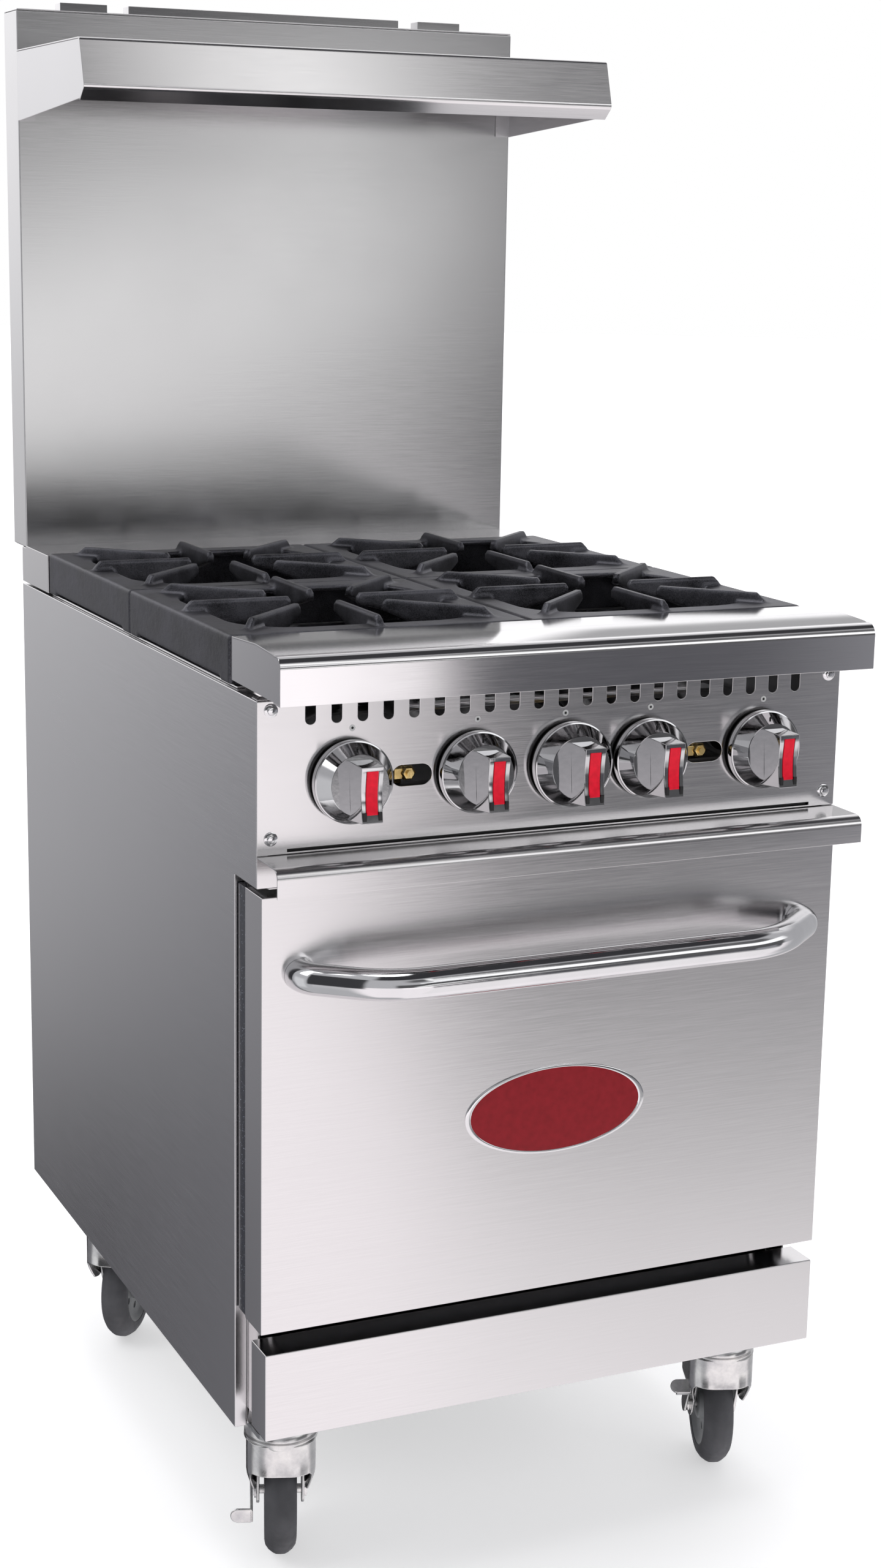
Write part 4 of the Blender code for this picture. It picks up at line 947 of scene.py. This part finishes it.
def gas_line():
    """Valves, pilot screws, the manifold, the pilot tube and the oven's own pipe and burner."""
    for k in (1, 2, 3, 4):
        brass_copy(f"burner_valve_{k}", 0.4, 35)
    nut_profile = [(0, -365), (5.5, -365), (7.5, -363), (7.5, -358.5), (0, -358.5)]
    for side, x in (("left", -PILOT_X), ("right", PILOT_X)):
        nut = rounded(turned(nut_profile, "y", (x, 0, KNOB_Z), 6), 0.4, 2)
        stem = cylinder(3.2, -368, -364, "y", (x, 0, KNOB_Z), 20)
        cap = rounded(box((x - 14, x - 5), (-362, -352), (KNOB_Z - 6, KNOB_Z + 5)), 1.2, 3)
        piece(smooth(merged(nut, stem, cap), 30), f"pilot_screw_{side}", BRASS)
    for node in ("oven_thermostat", "pilot_valve_left", "pilot_valve_right"):
        brass_copy(node, 0.5, 30)
    low, high = limits("manifold_pipe")
    radius = 13.5
    y = low.y + radius
    z = (low.z + high.z) / 2
    x = high.x - radius
    route = rounded_route([(low.x, y, z), (x, y, z), (x, high.y, z)], 26, 12)
    pipe = tube(route, radius, 32)
    stand_in(smooth(pipe, 40), "manifold_pipe_round", PIPE, "manifold_pipe")
    low, high = limits("thermostat_knob")
    x = (low.x + high.x) / 2
    corners = [(x, -360, 807.5), (x, -360, 764), (281, -360, 764), (281, -294, 764)]
    corners += [(281, -294, 262), (0, -294, 262), (0, -278, 262)]
    thin = tube(rounded_route(corners, 8, 6), 5, 16)
    stand_in(smooth(thin, 40), "oven_gas_pipe_round", GALVANISED, "oven_gas_pipe")
    half = [(PILOT_X, -345, 826), (PILOT_X, -345, 874)]
    corners = [(-x, y, z) for x, y, z in half] + half[::-1]
    piece(smooth(tube(rounded_route(corners, 12, 8), 3.2, 16), 40), "pilot_tube", ALUMINIUM)
    made = smooth(rounded(copied("oven_burner"), 0.8, 2), 35)
    stand_in(made, "oven_burner_casting", BURNER_IRON, "oven_burner")


def oven_racks():
    """Welded wire shelves: a closed edge wire, three cross bars and nineteen thin bars."""
    for level in ("lower", "upper"):
        node = f"oven_rack_{level}"
        low, high = limits(node)
        z = (low.z + high.z) / 2
        inset = 3.0
        half_x = high.x - inset
        half_y = (high.y - low.y) / 2 - inset
        edge = rounded_rectangle((0, (low.y + high.y) / 2), half_x, half_y, 10, 6)
        wires = [tube([Vector((x, y, z)) for x, y in edge + edge[:2]], 3, 12)]
        for y in (low.y + inset, 17, high.y - inset):
            bar = [Vector((x, y, z)) for x in (low.x + inset, 0, high.x - inset)]
            wires.append(tube(bar, 2.6, 12))
        count = 19
        for k in range(count):
            x = low.x + 20 + (high.x - low.x - 40) * k / (count - 1)
            bar = [Vector((x, y, z + 1)) for y in (low.y + inset, 0, high.y - inset)]
            wires.append(tube(bar, 1.9, 10))
        stand_in(smooth(merged(*wires), 40), f"{node}_wires", WIRE, node)


# ---- casters


JOINTS = {joint["name"]: joint for joint in frame["joints"]}

# How far each brake pedal is tipped up at rest, in degrees.
BRAKE_ANGLE = {"front_left": -8, "front_right": 50}


def facing(across):
    """The turn that lays a shape's x axis along a level direction."""
    up = Vector((0, 0, 1))
    return Matrix((across, up.cross(across), up)).transposed().to_4x4()


def saddle():
    """The pressed front of a caster fork: wide under the ball race, and drawn in towards its legs."""
    width, nose, tail, corner = 33, -33.5, 27, 24.0
    plan = [(width, tail), (width, tail - 14), (width, 0)]
    plan += arc((width - corner, nose + corner), corner, 0, -90, 9)
    plan += [(0, nose)]
    plan += [(-x, y) for x, y in plan[-2::-1]]
    top, drawn_from, rows = 144, 108, 12
    bm = bmesh.new()
    grid = []
    for x, y in plan:
        front = max(0, min(1, (-6 - y) / 20))
        front = front * front * (3 - 2 * front)
        bottom = 84.0 + 27.0 * front
        column = []
        for k in range(rows + 1):
            height = top + (bottom - top) * k / rows
            inward = max(0, min(1, (drawn_from - height) / 26))
            waist = 1 - 0.05 * math.sin(math.pi * k / rows) * front
            column.append(bm.verts.new((x * (1 - 0.26 * inward), y * waist, height)))
        grid.append(column)
    for left, right in zip(grid, grid[1:]):
        for k in range(rows):
            bm.faces.new((left[k], left[k + 1], right[k + 1], right[k]))
    made = to_object(bm, "saddle")
    sheet = made.modifiers.new("sheet", "SOLIDIFY")
    sheet.thickness = 2.6 * METRE
    sheet.offset = 0
    baked(made)
    return rounded(made, 0.9, 3, 50)


def caster(place):
    """A swivel caster: pressed fork with a ball race, rubber-tyred wheel and, in front, a brake pedal."""
    fork_node = f"caster_fork_{place}"
    wheel_node = f"caster_wheel_{place}"
    swivel = Vector(JOINTS[f"caster_{place}_swivel"]["pos_m"]) / METRE
    spin = JOINTS[f"caster_{place}_spin"]
    axle = Vector(spin["pos_m"]) / METRE
    turn = facing(Vector(spin["axis"]).normalized())
    at_swivel = Matrix.Translation((swivel.x, swivel.y, 0)) @ turn
    at_axle = Matrix.Translation(axle) @ turn
    trail = 34.0

    race = [(7, 138), (31, 138), (35, 139.5), (36.5, 142.5), (36.3, 146), (34.2, 147)]
    race += [(34.2, 148.2), (36.3, 149.2), (36, 153), (33.5, 156.6), (28, 158.4), (7, 158.4)]
    cup = turned(race, "z", (0, 0, 0), 64)
    leg_outline = [(-14, 141), (-18, 136), (-16, 126)]
    leg_outline += [(4, 90), (trail - 14, 58)] + arc((trail, axle.z), 13.5, 205, 335, 12)
    leg_outline += [(trail + 13, 76), (36, 122), (37, 134), (31, 141)]
    parts = [cup, saddle()]
    for sign in (-1, 1):
        leg = prism([leg_outline[::-1]], "x", sign * 22.5 - 1.5, sign * 22.5 + 1.5)
        parts.append(rounded(leg, 0.8, 3))
    crown = rounded_rectangle((0, 0), 24, 30, 14, 8)
    parts.append(rounded(prism([crown], "z", 136.5, 139.8), 0.9, 3))
    parts.append(turned([(0, 128), (9, 128), (9, 134.5), (6, 136.6), (0, 136.6)], "z", (0, 0, 0), 6))
    fork = moved(merged(*parts), at_swivel)
    stand_in(smooth(fork, 32), f"{fork_node}_pressing", ZINC, fork_node)

    bolt_parts = [cylinder(4.6, -26.5, 26.5, "x", (0, 0, 0), 24)]
    for sign in (-1, 1):
        head = [(0, 24.3), (8.6, 24.3), (8.6, 26.2), (6.5, 26.2), (6.5, 26.9), (0, 26.9)]
        sides = 6 if sign > 0 else 32
        profile = [(radius, sign * height) for radius, height in head]
        bolt_parts.append(turned(profile, "x", (0, 0, 0), sides))
    bolt = moved(merged(*bolt_parts), at_axle)
    piece(smooth(bolt, 30), f"caster_bolt_{place}", ZINC, BODY_OF[fork_node])

    wheel_low, wheel_high = limits(wheel_node)
    radius = (wheel_high.z - wheel_low.z) / 2
    half = 16.5
    tread = [(45, -half + 1.2), (49, -half + 0.4), (54, -half + 1.4), (58.5, -half + 4.6)]
    tread += [(61.8, -half + 9), (radius - 0.25, -4.5), (radius, 0)]
    tyre_profile = tread + [(r, -h) for r, h in tread[-2::-1]]
    tyre = moved(turned(tyre_profile, "x", (0, 0, 0), 96), at_axle)
    stand_in(smooth(tyre, 40), f"caster_tyre_{place}", TYRE, wheel_node)
    disc = [(5.8, -15.6), (15, -15.6), (16.5, -14.6), (18, -9.5), (36, -8.2), (41, -10.5)]
    disc += [(44, -14.6), (46.5, -14.6)]
    hub_profile = disc + [(r, -h) for r, h in disc[::-1]]
    hub = turned(hub_profile, "x", (0, 0, 0), 72)
    holes = []
    for k in range(6):
        angle = math.radians(60 * k + 30)
        spot = (27.5 * math.cos(angle), 27.5 * math.sin(angle))
        holes.append(arc(spot, 4.4, 0, 340, 17))
    cut(hub, prism(holes, "x", -12, 12))
    piece(smooth(moved(hub, at_axle), 35), f"caster_hub_{place}", HUB, BODY_OF[wheel_node])


def brake_lever(place):
    """The pressed pedal that swings about the axle bolt: a tapered arm and a round tread with a lip."""
    node = f"brake_lever_{place}"
    joint = JOINTS[f"{node}_press"]
    across = Vector(joint["axis"]).normalized()
    if across.x < 0:
        across = -across
    turn = facing(across) @ Matrix.Rotation(math.radians(-BRAKE_ANGLE[place]), 4, "X")
    arm = [(-44, -7.5), (-44, 6.5), (-30, 4.5)] + arc((0, 0), 9, 120, -120, 16) + [(-30, -5.5)]
    arm = rounded(prism([arm[::-1]], "x", -30.5, -27.5), 0.8, 3)
    tread = [(-28, -7.6), (-28, 7.6), (-38, 7.8)] + arc((-42, 0), 7.8, 85, 275, 14) + [(-38, -7.8)]
    tread = rounded(prism([tread], "y", -44, -41.2), 0.9, 3)
    lip = rounded(box((-44, -28.5), (-44, -37.5), (-8, -5.6)), 1, 3)
    made = merged(arm, tread, lip)
    moved(made, Matrix.Translation(Vector(joint["pos_m"]) / METRE) @ turn)
    stand_in(smooth(made, 35), f"{node}_pressing", ZINC, node)


# ---- stage


def camera():
    """The viewpoint: in front, to the left, a little above the cooktop."""
    place = Vector((-1.0559, -2.4168, 1.3065))
    yaw, pitch, roll = 0.42706, -0.21924, 0.01754
    forward = Vector((math.sin(yaw) * math.cos(pitch), math.cos(yaw) * math.cos(pitch), math.sin(pitch)))
    right = Vector((math.cos(yaw), -math.sin(yaw), 0))
    up = right.cross(forward)
    right_rolled = right * math.cos(roll) + up * math.sin(roll)
    up_rolled = up * math.cos(roll) - right * math.sin(roll)
    data = bpy.data.cameras.new("camera")
    data.lens = 57.32
    data.sensor_width = 36
    made = linked(data, "camera")
    turn = Matrix((right_rolled, up_rolled, -forward)).transposed().to_4x4()
    made.matrix_world = Matrix.Translation(place) @ turn
    bpy.context.scene.camera = made


# Soft areas of the studio as seen from the range: (azimuth from the front towards the right, elevation),
# half sizes, softness across and up, and tilt, all in degrees, and then the light's colour. Later areas
# cover earlier ones, and the haze fills what is left.
STUDIO = [
    ((25, -44), (78, 37), (10, 2), 0, (1.30, 1.24, 1.27)),
    ((10, -11), (16, 4.5), (3, 1.5), 0, (1.52, 1.46, 1.49)),
    ((45, -38), (20.2, 18), (1.2, 2), 0, (1.22, 1.18, 1.2)),
    ((45, -18.5), (20.4, 3), (1.2, 2.5), 0, (0.52, 0.52, 0.525)),
    ((45, -10), (20.4, 6), (0.6, 1.6), 0, (0.12, 0.12, 0.135)),
    ((45.5, -10), (12, 6), (2.5, 1.6), 0, (0.36, 0.36, 0.39)),
    ((26, -14), (3.4, 2.4), (1, 1.8), 0, (0.13, 0.13, 0.14)),
    ((28, 2.5), (40, 9.5), (3, 2), 0, (0.13, 0.13, 0.135)),
    ((16, -2.3), (9.6, 3), (3.5, 3), 23, (1.35, 1.35, 1.35)),
    ((50, 19), (25.5, 8), (2, 1.5), 0, (1.7, 1.7, 1.72)),
    ((30, 35), (28, 8), (8, 3), 0, (0.16, 0.16, 0.165)),
    ((25.4, 35), (3.6, 8), (3.2, 4), 0, (1.5, 1.5, 1.5)),
    ((40, 63), (75, 15), (6, 3), 0, (0.05, 0.05, 0.055)),
    ((18, 17), (6.5, 2.6), (1, 1), 0, (1.3, 1.3, 1.32)),
    ((21, 10.6), (5.5, 3.3), (1.5, 1), 0, (0.05, 0.05, 0.055)),
    ((-57, 15), (15, 32), (3, 3), 0, (0.06, 0.06, 0.065)),
    ((-92, 50), (14, 18), (2, 3), 0, (2.5, 2.5, 2.5)),
    ((-95, -15), (16, 25), (5, 8), 0, (0.90, 0.90, 0.92)),
    ((-160, 0), (42, 20), (10, 8), 0, (0.50, 0.50, 0.515)),
    ((-160, -45), (42, 26.5), (14, 5), 0, (0.05, 0.048, 0.052)),
    ((-140, -12), (21.5, 26), (3.5, 8), 0, (0.24, 0.24, 0.26)),
    ((150, 22), (55, 24), (12, 12), 0, (1.35, 1.34, 1.36)),
    ((145.5, 14), (7, 6), (1, 2.5), 0, (0.46, 0.46, 0.47)),
    ((100, -5), (26, 40), (12, 12), 0, (0.55, 0.55, 0.57)),
    ((0, 90), (400, 12), (8, 3), 0, (4, 4, 4.05)),
]

STUDIO_HAZE = (0.62, 0.62, 0.64)


def studio():
    """Light from a studio that is a function of direction only; the camera itself sees a pale backdrop."""
    world = bpy.data.worlds.new("studio")
    bpy.context.scene.world = world
    world.use_nodes = True
    tree = world.node_tree
    tree.nodes.clear()

    value = partial(math_node, tree)

    def window(offset, half, softness):
        node = tree.nodes.new("ShaderNodeMapRange")
        node.interpolation_type = "SMOOTHSTEP"
        tree.links.new(value("ABSOLUTE", offset), node.inputs["Value"])
        node.inputs["From Min"].default_value = half + softness
        node.inputs["From Max"].default_value = half - softness
        return node.outputs["Result"]

    separate = tree.nodes.new("ShaderNodeSeparateXYZ")
    tree.links.new(tree.nodes.new("ShaderNodeTexCoord").outputs["Generated"], separate.inputs[0])
    x, y, z = separate.outputs
    azimuth = value("MULTIPLY", value("ARCTAN2", x, value("MULTIPLY", y, -1)), math.degrees(1))
    elevation = value("MULTIPLY", value("ARCSINE", z), math.degrees(1))
    colour = STUDIO_HAZE
    for (where_azimuth, where_elevation), (half_u, half_v), (soft_u, soft_v), tilt, light in STUDIO:
        apart = value("SUBTRACT", azimuth, where_azimuth)
        turns = value("ROUND", value("DIVIDE", apart, 360))
        apart = value("SUBTRACT", apart, value("MULTIPLY", turns, 360))
        above = value("SUBTRACT", elevation, where_elevation)
        aim = math.radians(tilt)
        cosine, sine = math.cos(aim), math.sin(aim)
        u = value("ADD", value("MULTIPLY", apart, cosine), value("MULTIPLY", above, sine))
        v = value("SUBTRACT", value("MULTIPLY", above, cosine), value("MULTIPLY", apart, sine))
        mask = value("MULTIPLY", window(u, half_u, soft_u), window(v, half_v, soft_v))
        colour = mixed(tree, mask, colour, light)
    from_camera = tree.nodes.new("ShaderNodeLightPath").outputs["Is Camera Ray"]
    background = tree.nodes.new("ShaderNodeBackground")
    tree.links.new(mixed(tree, from_camera, colour, (1, 1, 1)), background.inputs["Color"])
    output = tree.nodes.new("ShaderNodeOutputWorld")
    tree.links.new(background.outputs["Background"], output.inputs["Surface"])


def floor():
    """A pale floor that glows a little, so that it stays light under the range."""
    bm = bmesh.new()
    bmesh.ops.create_circle(bm, cap_ends=True, segments=64, radius=30000)
    made = to_object(bm, "floor")
    finish = Finish("pale_floor", (0.92, 0.92, 0.925), 0.8)
    cloud = finish.noise(1.2, 3)
    finish.tones(cloud, (0.91, 0.91, 0.915), (0.93, 0.93, 0.935))
    finish.set("Emission Color", (1, 1, 1))
    finish.set("Emission Strength", 0.48)
    made.data.materials.append(finish.material)
    made.visible_glossy = False


# ---- assembly

camera()
studio()
floor()
body_sheets()
shelf()
control_panel()
for knob_node in KNOBS:
    knob(knob_node)
index_marks()
front_rail()
crumb_tray()
door()
grates()
burners()
gas_line()
oven_racks()
for caster_place in ("front_left", "front_right", "rear_left", "rear_right"):
    caster(caster_place)
for lever_place in ("front_left", "front_right"):
    brake_lever(lever_place)
bpy.context.scene.view_settings.view_transform = "Standard"
